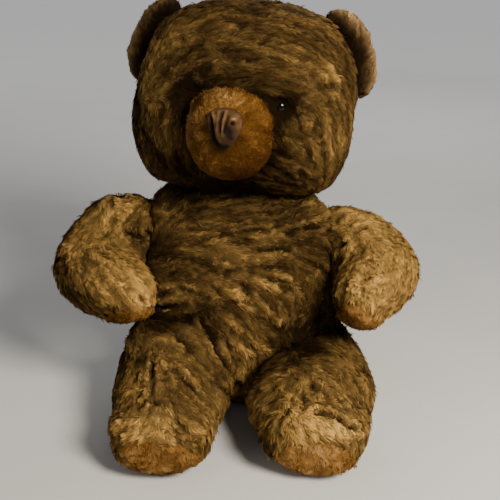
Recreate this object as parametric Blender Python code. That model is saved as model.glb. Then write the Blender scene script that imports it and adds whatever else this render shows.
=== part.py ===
"""Threadbare teddy bear: plush covers sewn over loose stuffing, sitting with its legs out in front.

Metres, +Z up. The bear faces -Y and sits on Z = 0. Left and right are the bear's own, so its right is -X.
"""

import math
from collections import namedtuple

import bmesh
import bpy
from mathutils import Matrix, Vector, noise

MM = 0.001
Section = namedtuple("Section", "centre half_width half_height")
Fold = namedtuple("Fold", "start middle end spread rise")  # a bent line, and how high it stands
Pad = namedtuple("Pad", "name place facing radii depth")
Limb = namedtuple("Limb", "name sections bluntness detail folds rests pad")


def mm(*values):
    return Vector(values) * MM


def section(x, y, z, half_width, half_height):
    return Section(mm(x, y, z), half_width * MM, half_height * MM)


def fold(start, middle, end, spread, rise):
    return Fold(mm(*start), mm(*middle), mm(*end), spread * MM, rise * MM)


# Cloth and clearances.
PLUSH = 4.5 * MM  # backing cloth with its matted pile
VELOUR = 2.5 * MM  # short-pile cloth of the muzzle
GAP = 0.35 * MM  # air between two pieces that touch
SEAT_SAG = 3 * MM  # how far the flats of a plain seat can lie inside the form's curve
UNEVEN = 1.2 * MM  # how far lumpy stuffing pushes a cover in and out
LUMP_SIZE = 34 * MM

# Head: its own frame has the face at -Y, and turns a little to the bear's right and down to its left.
HEAD_CENTRE = mm(7, 42, 198.5)
HEAD_RADII = mm(71.5, 57, 63)
HEAD_YAW = math.radians(-7)
HEAD_ROLL = math.radians(4)
HEAD_SQUARENESS = 2.5
JOWL = 0.03  # how much wider the head is at its bottom than at its middle
JOWL_SQUARENESS = 2.2  # and how much squarer
CHIN = 0.45  # how far the face draws back under the muzzle

# Face, in the head's frame.
MUZZLE_CENTRE = mm(-2.2, -50, -11)
MUZZLE_RADII = mm(28, 30, 30)
MUZZLE_SQUARENESS = 2.2
NOSE_CENTRE = mm(-2.6, -79, -4)
NOSE_RADII = mm(12, 6.5, 12.5)
NOSE_SQUARENESS = 2.4
NOSE_TILT = math.radians(-16)
NOSE_WAIST = 0.76  # width at mid height, and how much it changes towards the top
NOSE_TAPER = 0.3
WRINKLE_RISE = 0.5 * MM
WRINKLE_TURNS = 11
EYE_SPREAD = 28.5 * MM
EYE_CENTRE = mm(-1.5, -50, 6.5)
EYE_OUTWARD = 0.34  # how far the eyes look to the sides
EYE_RADIUS = 4 * MM
EYE_DEPTH = 2.8 * MM
SHANK_RADIUS = 1.4 * MM
SHANK_LENGTH = 13 * MM
EAR_CENTRE = mm(52, 8, 26)
EAR_RADII = mm(28, 9, 30)
EAR_SQUARENESS = 2.7
EAR_LEAN = math.radians(27)
EAR_TURN = math.radians(18)
EAR_CUP = 8 * MM

# Torso.
TORSO_CENTRE = mm(2.5, 42, 70)
TORSO_RADII = mm(61, 50, 80)
TORSO_SQUARENESS = 3.2
TORSO_TAPER = Vector((0.02, 0.12))  # how much narrower and thinner its top is than its middle
TORSO_LEAN = math.tan(math.radians(12))
SEAM_SLIT = mm(1.2, 40, 62)  # hand-closed seam down the back: width, depth, height
SEAM_PLACE = mm(2.5, 96, 78)

# Facets round and along each form: outside, and on its cavity and stuffing.
HEAD_DETAIL = (30, 20)
TORSO_DETAIL = (30, 21)
ARM_DETAIL = (20, 14)
LEG_DETAIL = (24, 19)
MUZZLE_DETAIL = (20, 12)
NOSE_DETAIL = (18, 12)
EAR_DETAIL = (20, 12)
PAD_DETAIL = 20
BUTTON_DETAIL = (12, 6)
SHANK_DETAIL = 8
PLAIN_SEAT_DETAIL = (20, 14)
BODY_INSIDE = (12, 8)
LIMB_INSIDE = (10, 7)
FOLD_STEPS = 8  # points that a fold's line is measured at, less one

TORSO_FOLDS = (
    # Creases across the chest and under it, the roll between them, the dip above the crotch, the left hip.
    fold((-50, 0, 98), (-5, -14, 80), (44, 0, 88), 8, -3.6),
    fold((-34, 4, 118), (8, -6, 108), (42, 8, 116), 8, -2.6),
    fold((-50, -6, 66), (-18, -18, 60), (4, -16, 66), 7, -2.8),
    fold((-24, -8, 95), (6, -14, 95), (34, -8, 101), 9, 2.2),
    fold((-4, -18, 42), (0, -18, 30), (2, -16, 14), 8, -2.4),
    fold((22, -14, 36), (32, -12, 42), (44, -4, 50), 20, 5),
)
HEAD_FOLDS = (
    # Eye sockets, and the cheeks below them.
    fold((-28.5, -54, 6), (-28.5, -54, 6), (-28.5, -54, 6), 11, -4.5),
    fold((25.5, -54, 6), (25.5, -54, 6), (25.5, -54, 6), 11, -4.5),
    fold((-44, -46, -22), (-50, -42, -16), (-52, -40, -8), 16, 2.5),
    fold((44, -46, -22), (50, -42, -16), (52, -40, -8), 16, 2.5),
)

# Limbs: their sections run from the body outwards. A leg's folds are the ankle's crease, the instep and the
# thigh's crease, and an arm's are two creases round it.
SOLE_FACING = Vector((0, -0.62, -0.78))
SOLE_RADII = (28 * MM, 27 * MM)
SOLE_DEPTH = 16 * MM
PAW_RADII = (17 * MM, 14 * MM)
PAW_DEPTH = 14 * MM
RIGHT_LEG = Limb(
    name="leg_right",
    sections=(
        section(-22, 30, 36, 34, 34),
        section(-38, -15, 34, 39, 35),
        section(-43, -60, 26, 36, 27),
        section(-44, -101, 24, 34, 25),
    ),
    bluntness=3.4,
    detail=LEG_DETAIL,
    folds=(
        fold((-78, -64, 20), (-42, -74, 66), (-8, -62, 22), 8, -3.6),
        fold((-60, -90, 40), (-44, -90, 52), (-26, -90, 40), 12, 3),
        fold((-70, -30, 52), (-40, -36, 70), (-12, -30, 52), 9, -2.2),
    ),
    rests=True,
    pad=Pad("sole_right", mm(-43.5, -90, 4), SOLE_FACING, SOLE_RADII, SOLE_DEPTH),
)
LEFT_LEG = Limb(
    name="leg_left",
    sections=(
        section(33, 30, 28, 36, 27),
        section(50, -15, 27, 40, 29),
        section(49, -60, 25, 38, 26),
        section(46, -101, 24, 34, 25),
    ),
    bluntness=3.4,
    detail=LEG_DETAIL,
    folds=(
        fold((24, -72, 44), (60, -78, 64), (88, -58, 16), 8, -3.8),
        fold((30, -90, 40), (46, -90, 50), (62, -90, 40), 12, 2.5),
        fold((74, -30, 44), (50, -36, 60), (22, -30, 48), 9, -2),
    ),
    rests=True,
    pad=Pad("sole_left", mm(46, -90, 4), SOLE_FACING, SOLE_RADII, SOLE_DEPTH),
)
RIGHT_ARM = Limb(
    name="arm_right",
    sections=(
        section(-40, 44, 112, 24, 24),
        section(-76, 37, 108, 28, 28),
        section(-95, 14, 95, 28, 28),
        section(-84, -14, 91, 27.5, 26),
        section(-49, -30, 89, 26.5, 25),
    ),
    bluntness=2.6,
    detail=ARM_DETAIL,
    folds=(
        fold((-66, 8, 128), (-92, 10, 122), (-122, 20, 100), 9, -2.2),
        fold((-122, -4, 84), (-104, -26, 84), (-88, -30, 62), 9, -2.4),
    ),
    rests=False,
    pad=Pad("paw_pad_right", mm(-62, -34, 70), Vector((0.4, -0.55, -0.74)), PAW_RADII, PAW_DEPTH),
)
LEFT_ARM = Limb(
    name="arm_left",
    sections=(
        section(45, 44, 108, 24, 24),
        section(78, 37, 101, 28, 28),
        section(92, 14, 92, 28, 27),
        section(86, -14, 88, 28, 25),
        section(66, -38, 83, 27, 24),
    ),
    bluntness=2.6,
    detail=ARM_DETAIL,
    folds=(
        fold((72, 8, 122), (96, 10, 116), (124, 20, 94), 9, -2.2),
        fold((122, -4, 80), (106, -26, 78), (92, -30, 58), 9, -2.4),
    ),
    rests=False,
    pad=Pad("paw_pad_left", mm(76, -38, 71), Vector((0.1, -0.72, -0.68)), PAW_RADII, PAW_DEPTH),
)


def clear_scene():
    for thing in list(bpy.data.objects):
        bpy.data.objects.remove(thing, do_unlink=True)


def make_collection(name):
    collection = bpy.data.collections.new(name)
    bpy.context.scene.collection.children.link(collection)
    return collection


def make_material(name, colour, roughness):
    material = bpy.data.materials.new(name)
    material.use_nodes = True
    shader = material.node_tree.nodes["Principled BSDF"]
    shader.inputs["Base Color"].default_value = (*colour, 1)
    shader.inputs["Roughness"].default_value = roughness
    shader.inputs["Metallic"].default_value = 0
    material.diffuse_color = (*colour, 1)
    return material


def ball(radii, centre, squareness=2.0):
    """A rounded form about its centre, as a function from a direction to a point."""

    def point(direction):
        reach = sum(abs(d / r) ** squareness for d, r in zip(direction, radii))
        return centre + direction / reach ** (1 / squareness)

    return point


def head_shape(direction):
    squareness = HEAD_SQUARENESS + JOWL_SQUARENESS * max(-direction.z, 0)
    point = ball(HEAD_RADII, Vector(), squareness)(direction)
    point.x *= 1 - JOWL * point.z / HEAD_RADII.z
    if point.y < 0 and point.z < 0:
        point.y *= 1 - CHIN * (point.z / HEAD_RADII.z) ** 2
    return point


def torso_shape(direction):
    point = ball(TORSO_RADII, Vector(), TORSO_SQUARENESS)(direction)
    height = point.z / TORSO_RADII.z
    point.x *= 1 - TORSO_TAPER.x * height
    point.y *= 1 - TORSO_TAPER.y * height
    point.y += point.z * TORSO_LEAN
    return TORSO_CENTRE + point


def section_at(sections, amount):
    """The limb's centre, half width and half height at an amount from 0 to 1, on a smooth curve."""
    last = len(sections) - 1
    place = min(max(amount, 0), 1) * last
    index = min(int(place), last - 1)
    t = place - index
    before, start, end, after = (
        sections[min(max(index + step, 0), last)] for step in (-1, 0, 1, 2)
    )

    def blend(a, b, c, d):
        bend = (2 * a - 5 * b + 4 * c - d) * t * t + (3 * b - a - 3 * c + d) * t**3
        return (2 * b + (c - a) * t + bend) * 0.5

    return tuple(blend(*values) for values in zip(before, start, end, after))


def limb_shape(sections, bluntness):
    """A stuffed limb along its sections, as a function from a direction to a point. Its end is at +Z."""

    def point(direction):
        along = (direction.z + 1) / 2
        centre, width, height = section_at(sections, along)
        ahead = section_at(sections, along + 0.02)[0] - section_at(sections, along - 0.02)[0]
        side = ahead.cross(Vector((0, 0, 1))).normalized()
        lift = side.cross(ahead).normalized()
        round_part = Vector((direction.x, direction.y))
        if round_part.length < 1e-6:
            return centre
        round_part.normalize()
        reach = max(1 - abs(direction.z) ** bluntness, 0) ** (1 / bluntness)
        return centre + reach * (side * width * round_part.x + lift * height * round_part.y)

    return point


def make_form(name, shape, detail, grow=(), floor=None, folds=()):
    """A closed soft form: a sphere laid on a shape, folded, grown by steps, pressed flat on the floor."""
    form = bmesh.new()
    bmesh.ops.create_uvsphere(form, u_segments=detail[0], v_segments=detail[1], radius=1)
    for vert in form.verts:
        vert.co = shape(vert.co.normalized())
    bmesh.ops.recalc_face_normals(form, faces=form.faces)
    form.normal_update()
    moves = [vert.normal * fold_height(vert.co, folds) for vert in form.verts]
    for vert, move in zip(form.verts, moves):
        vert.co += move
    bmesh.ops.triangulate(form, faces=form.faces)
    for step in grow:
        form.normal_update()
        moves = [vert.normal * step for vert in form.verts]
        for vert, move in zip(form.verts, moves):
            vert.co += move
    if floor is not None:
        for vert in form.verts:
            vert.co.z = max(vert.co.z, floor)
    return bpy.data.objects.new(name, mesh_of(form, name))


def mesh_of(form, name):
    mesh = bpy.data.meshes.new(name)
    form.to_mesh(mesh)
    form.free()
    return mesh


def fold_height(point, folds):
    """How far folds and lumpy stuffing push the cover out at a point."""
    height = UNEVEN * noise.noise(point / LUMP_SIZE)
    for crease in folds:
        steps = [along_fold(crease, step / FOLD_STEPS) for step in range(FOLD_STEPS + 1)]
        nearest = min((point - step).length for step in steps)
        height += crease.rise * math.exp(-((nearest / crease.spread) ** 2))
    return height


def along_fold(crease, amount):
    before = crease.start.lerp(crease.middle, amount)
    return before.lerp(crease.middle.lerp(crease.end, amount), amount)


class Workshop:
    """Where finished pieces and cutters go, with the materials they are made of."""

    def __init__(self):
        self.pieces = make_collection("teddy_bear")
        self.cutters = make_collection("teddy_bear_cutters")
        self.brown = make_material("brown_plush", (0.16, 0.095, 0.04), 0.95)
        self.tan = make_material("tan_velour", (0.36, 0.17, 0.06), 0.9)
        self.filling = make_material("stuffing", (0.62, 0.55, 0.42), 1.0)
        self.black = make_material("black_button", (0.01, 0.01, 0.01), 0.12)
        self.mauve = make_material("mauve_nose", (0.14, 0.085, 0.08), 0.6)

    def piece(self, thing, name, material, frame=None):
        thing.name = name
        thing.data.name = name
        thing.data.materials.append(material)
        thing.parent = frame
        self.pieces.objects.link(thing)
        return thing

    def cutter(self, thing, frame=None):
        thing.hide_render = True
        thing.display_type = "WIRE"
        thing.parent = frame
        self.cutters.objects.link(thing)
        return thing


def cut(thing, cutter, operation="DIFFERENCE"):
    modifier = thing.modifiers.new(operation.title(), "BOOLEAN")
    modifier.operation = operation
    modifier.solver = "EXACT"
    modifier.object = cutter


def take_primitive(name):
    """The primitive just added, out of the scene's own collection."""
    thing = bpy.context.object
    thing.name = name
    for collection in list(thing.users_collection):
        collection.objects.unlink(thing)
    return thing


class StuffedPart:
    """One sewn part: its cover, the stuffing that fills it, and the cutter that seats others on it."""

    def __init__(
        self, shop, name, shape, detail, inner_detail, cloth=PLUSH, folds=(), frame=None, rests=False
    ):
        self.shop = shop
        self.name = name
        self.shape = shape
        self.detail = detail
        self.folds = folds
        self.frame = frame
        self.rests = rests
        self.cavity = self.cutter("cavity", inner_detail, (-cloth,), cloth)
        self.cover_cutters = [self.cavity]
        self.stuffing = self.form("stuffing", inner_detail, (-cloth, -GAP), cloth + GAP)
        shop.piece(self.stuffing, name + "_stuffing", shop.filling, frame)

    def form(self, use, detail, grow, floor):
        level = floor if self.rests else None
        return make_form(f"{self.name}_{use}", self.shape, detail, grow, level, self.folds)

    def cutter(self, use, detail, grow, floor):
        return self.shop.cutter(self.form(use, detail, grow, floor), self.frame)

    def seat(self):
        """What cuts this part's neighbours: close for their covers, and plain for their stuffing."""
        close = self.cutter("seat", self.detail, (GAP,), -GAP)
        plain = self.cutter("plain_seat", PLAIN_SEAT_DETAIL, (GAP + SEAT_SAG,), -GAP)
        return close, plain

    def sit_on(self, seat):
        self.cut_cover(seat[0])
        cut(self.stuffing, seat[1])

    def pierce(self, cutter):
        self.cut_cover(cutter)
        cut(self.stuffing, cutter)

    def cut_cover(self, cutter):
        self.cover_cutters.append(cutter)

    def shell(self, name, material, patch=None):
        """The cover's cloth or, with a patch cutter, only the piece of it inside that cutter."""
        cloth = self.form("cloth", self.detail, (), 0.0)
        if patch:
            cut(cloth, patch, "INTERSECT")
        for cutter in self.cover_cutters:
            cut(cloth, cutter)
        return self.shop.piece(cloth, name, material, self.frame)


def make_oval(shop, pad, extra):
    """An upright oval cutter through the pad's place, grown sideways by an extra clearance."""
    bpy.ops.mesh.primitive_cylinder_add(vertices=PAD_DETAIL, radius=1, depth=2)
    oval = take_primitive(f"{pad.name}_cutter")
    turn = pad.facing.to_track_quat("Z", "Y").to_matrix().to_4x4()
    size = Matrix.Diagonal((pad.radii[0] + extra, pad.radii[1] + extra, pad.depth, 1))
    oval.matrix_world = Matrix.Translation(pad.place) @ turn @ size
    return shop.cutter(oval)


def make_pad(shop, part, pad):
    """A pad sewn into the end of a limb's cover: an oval piece of tan cloth in a hole that it fills."""
    part.shell(pad.name, shop.tan, patch=make_oval(shop, pad, 0.0))
    part.cut_cover(make_oval(shop, pad, GAP))


def make_torso(shop):
    torso = StuffedPart(
        shop, "torso", torso_shape, TORSO_DETAIL, BODY_INSIDE, folds=TORSO_FOLDS, rests=True
    )
    bpy.ops.mesh.primitive_cube_add(size=1, location=SEAM_PLACE)
    slit = take_primitive("torso_seam_slit")
    slit.scale = SEAM_SLIT
    torso.cut_cover(shop.cutter(slit))
    torso.shell("torso_cover", shop.brown)
    return torso


def make_dome(name, extra):
    form = bmesh.new()
    bmesh.ops.create_uvsphere(form, u_segments=BUTTON_DETAIL[0], v_segments=BUTTON_DETAIL[1], radius=1)
    size = (EYE_RADIUS + extra, EYE_RADIUS + extra, EYE_DEPTH + extra)
    bmesh.ops.scale(form, vec=size, verts=form.verts)
    return bpy.data.objects.new(name, mesh_of(form, name))


def make_shank(name, extra):
    form = bmesh.new()
    bmesh.ops.create_cone(
        form,
        cap_ends=True,
        segments=SHANK_DETAIL,
        depth=SHANK_LENGTH + extra,
        radius1=SHANK_RADIUS + extra,
        radius2=SHANK_RADIUS + extra,
        matrix=Matrix.Translation((0, 0, -(SHANK_LENGTH + extra) / 2)),
    )
    return bpy.data.objects.new(name, mesh_of(form, name))


def make_button(shop, name, place, outward, extra, frame):
    """A domed button joined to its shank, both grown by an extra clearance."""
    button = make_dome(name, extra)
    shank = shop.cutter(make_shank(f"{name}_shank", extra), frame)
    for thing in (button, shank):
        thing.location = place
        thing.rotation_mode = "QUATERNION"
        thing.rotation_quaternion = outward.to_track_quat("Z", "Y")
    cut(button, shank, "UNION")
    return button


def make_eye(shop, side, name, frame):
    """An eye, and the cutter for its seat and its shank's hole."""
    outward = Vector((side * EYE_OUTWARD, -1, 0))
    place = EYE_CENTRE + Vector((side * EYE_SPREAD, 0, 0))
    shop.piece(make_button(shop, name, place, outward, 0.0, frame), name, shop.black, frame)
    return shop.cutter(make_button(shop, name + "_seat", place, outward, GAP, frame), frame)


def ear_shape(direction):
    point = ball(EAR_RADII, Vector(), EAR_SQUARENESS)(direction)
    spread = (point.x / EAR_RADII.x) ** 2 + (point.z / EAR_RADII.z) ** 2
    point.y += EAR_CUP * (1 - spread)
    return point


def make_ear(shop, side, name, frame, head_seat):
    ear = make_form(name, ear_shape, EAR_DETAIL)
    ear.location = (side * EAR_CENTRE.x, EAR_CENTRE.y, EAR_CENTRE.z)
    ear.rotation_euler = (0, side * (math.pi / 2 - EAR_LEAN), side * EAR_TURN)
    cut(ear, head_seat)
    shop.piece(ear, name, shop.brown, frame)


def nose_shape(direction):
    """A shield: broad at its top, pointed at its bottom, with wrinkles that meet at the point."""
    point = ball(NOSE_RADII, Vector(), NOSE_SQUARENESS)(direction)
    share = NOSE_WAIST + NOSE_TAPER * point.z / NOSE_RADII.z
    point.x *= share
    wrinkle = math.cos(WRINKLE_TURNS * point.x / (NOSE_RADII.x * share))
    point.y -= WRINKLE_RISE * wrinkle * max(-direction.y, 0)
    return point


def make_head_frame(shop):
    frame = bpy.data.objects.new("head_frame", None)
    frame.location = HEAD_CENTRE
    frame.rotation_euler = (0, HEAD_ROLL, HEAD_YAW)
    shop.pieces.objects.link(frame)
    return frame


def make_head(shop, torso_seat):
    """The head with its eyes and ears, and the muzzle with its nose."""
    frame = make_head_frame(shop)
    head = StuffedPart(
        shop, "head", head_shape, HEAD_DETAIL, BODY_INSIDE, folds=HEAD_FOLDS, frame=frame
    )
    head_seat = head.seat()
    head.sit_on(torso_seat)
    for side, word in ((-1, "right"), (1, "left")):
        head.pierce(make_eye(shop, side, f"eye_{word}", frame))
        make_ear(shop, side, f"ear_{word}", frame, head_seat[0])
    head.shell("head_cover", shop.brown)
    make_nose(shop, make_muzzle(shop, head_seat, frame), frame)


def make_muzzle(shop, head_seat, frame):
    """The stuffed muzzle on the head. It gives back what seats the nose on it."""
    shape = ball(MUZZLE_RADII, MUZZLE_CENTRE, MUZZLE_SQUARENESS)
    muzzle = StuffedPart(
        shop, "muzzle", shape, MUZZLE_DETAIL, LIMB_INSIDE, cloth=VELOUR, frame=frame
    )
    seat = muzzle.seat()
    muzzle.sit_on(head_seat)
    muzzle.shell("muzzle_cover", shop.tan)
    return seat[0]


def make_nose(shop, seat, frame):
    nose = make_form("nose", nose_shape, NOSE_DETAIL)
    nose.location = NOSE_CENTRE
    nose.rotation_euler.x = NOSE_TILT
    cut(nose, seat)
    shop.piece(nose, "nose", shop.mauve, frame)


def make_limb(shop, limb, seats):
    """An arm or a leg on the seats it is sewn to."""
    part = StuffedPart(
        shop,
        limb.name,
        limb_shape(limb.sections, limb.bluntness),
        limb.detail,
        LIMB_INSIDE,
        folds=limb.folds,
        rests=limb.rests,
    )
    for seat in seats:
        part.sit_on(seat)
    make_pad(shop, part, limb.pad)
    part.shell(f"{limb.name}_cover", shop.brown)
    return part


def main():
    clear_scene()
    shop = Workshop()
    torso_seat = make_torso(shop).seat()
    make_head(shop, torso_seat)
    for leg, arm in ((RIGHT_LEG, RIGHT_ARM), (LEFT_LEG, LEFT_ARM)):
        leg_seat = make_limb(shop, leg, [torso_seat]).seat()
        make_limb(shop, arm, [torso_seat, leg_seat])


main()
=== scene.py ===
"""Looks of a threadbare teddy bear: sewn covers puffed out by their filling, and matted pile on every cover.

Metres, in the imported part's frame. The bear faces -Y and sits on Z = 0. Left and right are the bear's own.
"""

import math
from collections import namedtuple

import bmesh
import bpy
import numpy as np
from mathutils import Euler, Matrix, Vector
from mathutils.bvhtree import BVHTree
from mathutils.kdtree import KDTree


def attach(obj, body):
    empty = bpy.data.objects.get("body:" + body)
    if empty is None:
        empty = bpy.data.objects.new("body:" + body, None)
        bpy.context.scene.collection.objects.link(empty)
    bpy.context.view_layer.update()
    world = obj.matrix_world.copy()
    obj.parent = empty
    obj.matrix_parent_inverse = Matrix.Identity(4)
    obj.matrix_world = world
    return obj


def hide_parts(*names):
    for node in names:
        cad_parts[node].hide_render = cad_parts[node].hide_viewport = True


MM = 0.001
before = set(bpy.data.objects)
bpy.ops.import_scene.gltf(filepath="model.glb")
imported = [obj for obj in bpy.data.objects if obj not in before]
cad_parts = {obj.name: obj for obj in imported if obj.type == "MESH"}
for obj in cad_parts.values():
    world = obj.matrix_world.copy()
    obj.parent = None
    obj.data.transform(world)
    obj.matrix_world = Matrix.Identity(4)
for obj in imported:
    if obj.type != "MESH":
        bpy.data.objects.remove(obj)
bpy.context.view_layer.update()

# Head frame and face, as in the part. The bear's right is side -1, and its left is side 1.
HEAD_PLACE = Vector((7, 42, 198.5)) * MM
HEAD_TURN = Euler((0, math.radians(4), math.radians(-7)))
EYE_SPREAD = 28.5 * MM
EYE_PLACE = Vector((-1.5, -50, 6.5)) * MM
EYE_OUTWARD = 0.34
EYE_UPWARD = 0.3
EYE_RADIUS = 3.2 * MM
EYE_DEPTH = 1.7 * MM
EYE_BACK = 0.35  # of its depth
EYE_SUNK = {-1: 4.9 * MM, 1: 2.7 * MM}  # the right one is nearly lost in its pile
NOSE_PLACE = Vector((-2.6, -79, -3.5)) * MM
NOSE_RADII = (11.7, 6.5, 11.7)  # mm
NOSE_SQUARENESS = 2.4
NOSE_WAIST = 0.8
NOSE_TAPER = 0.27
NOSE_TILT = math.radians(-16)
EAR_PLACE = (52, 8, 26)  # mm
EAR_RADII = (28, 30)  # mm, half its width and half its height
EAR_LEAN = math.radians(27)
EAR_TURN = math.radians(18)
EAR_WIDER = {-1: 1.1, 1: 1.22}
EAR_LOWER = {-1: 1.42, 1: 1.3}  # and its lower half
EAR_REACH = 7 * MM  # within this of the head, an ear's base is drawn in
EAR_PULL = 1.4
SIDES = ((-1, "right"), (1, "left"))


def head_frame():
    return Matrix.Translation(HEAD_PLACE) @ HEAD_TURN.to_matrix().to_4x4()


# Meshes ---

FAR = 0.03  # distances past this aren't measured


def given(thing, **settings):
    for key, value in settings.items():
        setattr(thing, key, value)
    return thing


def link(name, data):
    """A new object in the scene."""
    thing = bpy.data.objects.new(name, data)
    bpy.context.scene.collection.objects.link(thing)
    return thing


def modify(thing, kind, **settings):
    return given(thing.modifiers.new(kind, kind), **settings)


def new_object(name, form):
    """An object from a bmesh, which is used up."""
    mesh = bpy.data.meshes.new(name)
    form.to_mesh(mesh)
    form.free()
    return link(name, mesh)


def dress(piece, material, slot, *nodes):
    """Gives a piece its material and its body, and hides the nodes it stands for."""
    piece.data.materials.clear()
    piece.data.materials.append(material)
    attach(piece, "root")
    if nodes:
        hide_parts(*nodes)


def apply_modifiers(thing):
    graph = bpy.context.evaluated_depsgraph_get()
    mesh = bpy.data.meshes.new_from_object(thing.evaluated_get(graph), depsgraph=graph)
    thing.modifiers.clear()
    thing.data = mesh
    return thing


def unit(vectors):
    return vectors / np.maximum(np.linalg.norm(vectors, axis=1, keepdims=True), 1e-9)


def dot(a, b):
    return (a * b).sum(1, keepdims=True)


def read(items, key, width, kind=np.float32):
    values = np.empty(len(items) * width, kind)
    items.foreach_get(key, values)
    return values.reshape(-1, width)


def move_points(thing, points):
    thing.data.vertices.foreach_set("co", points.astype(np.float32).ravel())
    thing.data.update()


def above_floor(points):
    points[:, 2] = np.maximum(points[:, 2], FLOOR_GAP)
    return points


def smooth(thing):
    thing.data.polygons.foreach_set("use_smooth", np.ones(len(thing.data.polygons), bool))


def tree_of(thing):
    return BVHTree.FromPolygons([v.co for v in thing.data.vertices], [p.vertices for p in thing.data.polygons])


class Surface:
    """A mesh's points, smooth normals and triangles as arrays, and roots spread over it."""

    def __init__(self, thing):
        mesh = thing.data
        mesh.calc_loop_triangles()
        self.points = read(mesh.vertices, "co", 3).astype(float)
        self.normals = read(mesh.vertices, "normal", 3).astype(float)
        self.triangles = read(mesh.loop_triangles, "vertices", 3, np.int32)

    def scatter(self, count, random, weight):
        """Picks places spread over the surface by a weight of its points. Then self.at gives any value there."""
        corners = self.points[self.triangles]
        area = np.linalg.norm(np.cross(corners[:, 1] - corners[:, 0], corners[:, 2] - corners[:, 0]), axis=1)
        area *= weight[self.triangles].mean(1)
        picked = random.choice(len(area), count, p=area / area.sum())
        share = random.random((count, 2))
        share = np.where(share.sum(1, keepdims=True) > 1, 1 - share, share)
        self.share = np.column_stack([1 - share.sum(1), share])
        self.picked = self.triangles[picked]

    def at(self, values):
        share = self.share if values.ndim == 1 else self.share[:, :, None]
        return (share * values[self.picked]).sum(1)


def ripple(points, size, seed, waves=18):
    """Smooth noise, mostly from -1 to 1, with bumps about size across."""
    random = np.random.default_rng(seed)
    ways = unit(random.normal(size=(waves, 3)))
    pace = 2 * np.pi / (size * random.uniform(1.2, 2.6, waves))
    phase = random.uniform(0, 2 * np.pi, waves)
    return np.sin(points @ (ways * pace[:, None]).T + phase).sum(1) * math.sqrt(0.5 / waves)


def ripples(points, size, seed):
    """The same noise in each of three directions."""
    return np.column_stack([ripple(points, size, seed + step) for step in range(3)])


def distances(points, tree):
    """How far each point is outside a tree's surface: negative inside it."""
    found = np.full(len(points), FAR)
    for index, point in enumerate(points.tolist()):
        place, normal, _, distance = tree.find_nearest(point, FAR)
        if place is not None:
            found[index] = math.copysign(distance, (Vector(point) - place).dot(normal))
    return found


def from_line(points, path):
    """How far each point is from a line through some places."""
    nearest = np.full(len(points), np.inf)
    for start, end in zip(path, path[1:]):
        along = end - start
        share = np.clip((points - start) @ along / (along @ along), 0, 1)
        nearest = np.minimum(nearest, np.linalg.norm(points - start - share[:, None] * along, axis=1))
    return nearest


def bell(distance, reach):
    return np.exp(-((distance / reach) ** 2))


def around(points, place, reach):
    """A bell round a place in mm."""
    return bell(np.linalg.norm(points - np.array(place) * MM, axis=1), reach)


def set_tone(thing, tone):
    values = thing.data.attributes.new("tone", "FLOAT", "POINT")
    values.data.foreach_set("value", np.clip(tone, 0, 1).astype(np.float32))


# Covers ---

PUFF_FRAMES = 20
PUFF_PRESSURE = 12.0
PUFF_START = 1.2 * MM  # the cover starts this much inside its form
PUFF_CAP = 2.6 * MM  # and no point of it moves further than this
SEAT_REACH = 7 * MM  # within this of a neighbour the cloth comes back out to meet it
HELD_REACH = 4 * MM  # and within this it is sewn down
OVER_STUFFING = 0.9 * MM
SHOWN_UNDER = 0.2 * MM
# The cloth shown under the pile is set this much darker: painted shade, so the gaps between fibres look deep.
SHOWN_PAINTED_SHADE = 0.1
FLOOR_GAP = 0.2 * MM


def hull_of(name, nodes, voxel, rounds=4):
    """One closed form round the outside of some nodes, with their facets smoothed."""
    form = bmesh.new()
    for node in nodes:
        form.from_mesh(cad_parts[node].data)
    bmesh.ops.remove_doubles(form, verts=form.verts, dist=1e-6)
    hull = new_object(name, form)
    modify(hull, "REMESH", mode="VOXEL", voxel_size=voxel)
    modify(hull, "SMOOTH", factor=0.5, iterations=rounds)
    return apply_modifiers(hull)


def add_cloth(skin, joins):
    """Cloth under the filling's pressure, held where it is sewn to a neighbour. Returns where its points were."""
    surface = Surface(skin)
    held = np.flatnonzero(joins < HELD_REACH)
    move_points(skin, surface.points - surface.normals * PUFF_START)
    group = skin.vertex_groups.new(name="held")
    group.add(held.tolist(), 1.0, "REPLACE")
    cloth = modify(skin, "CLOTH")
    given(cloth.settings, vertex_group_mass="held", use_pressure=True, uniform_pressure_force=PUFF_PRESSURE)
    cloth.settings.effector_weights.gravity = 0
    cloth.collision_settings.use_collision = False
    given(cloth.point_cache, frame_start=1, frame_end=PUFF_FRAMES)
    return surface.points


def run_cloth(skins, starts):
    """Steps every cover's cloth together, then keeps what each point moved, up to the cap."""
    for step in range(1, PUFF_FRAMES + 1):
        bpy.context.scene.frame_set(step)
    for skin, start in zip(skins, starts):
        apply_modifiers(skin)
        moved = read(skin.data.vertices, "co", 3) - start
        far = np.linalg.norm(moved, axis=1, keepdims=True)
        move_points(skin, start + moved * np.minimum(1, PUFF_CAP / np.maximum(far, 1e-9)))
    bpy.context.scene.frame_set(1)


def refine(skin, levels):
    skin.vertex_groups.clear()
    modify(skin, "SUBSURF", levels=levels, render_levels=levels)
    apply_modifiers(skin)
    smooth(skin)


# Lie of the pile ---

COMB_REACH = 17 * MM
FALL_SHARE = 0.03  # how much the fall counts beside the strokes
STRAYS = ((14 * MM, 1.0), (6 * MM, 0.8))  # size and share
BEHIND_START = 30 * MM  # from here to the back, over this depth, the pile strays more
BEHIND_DEPTH = 40 * MM
BEHIND_STRAY = 1.2
STREAK_STEPS = 7
STREAK_WAVES = 24


def level(flow, normals):
    """The part of each direction that lies along the surface."""
    return unit(flow - normals * dot(flow, normals))


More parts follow.
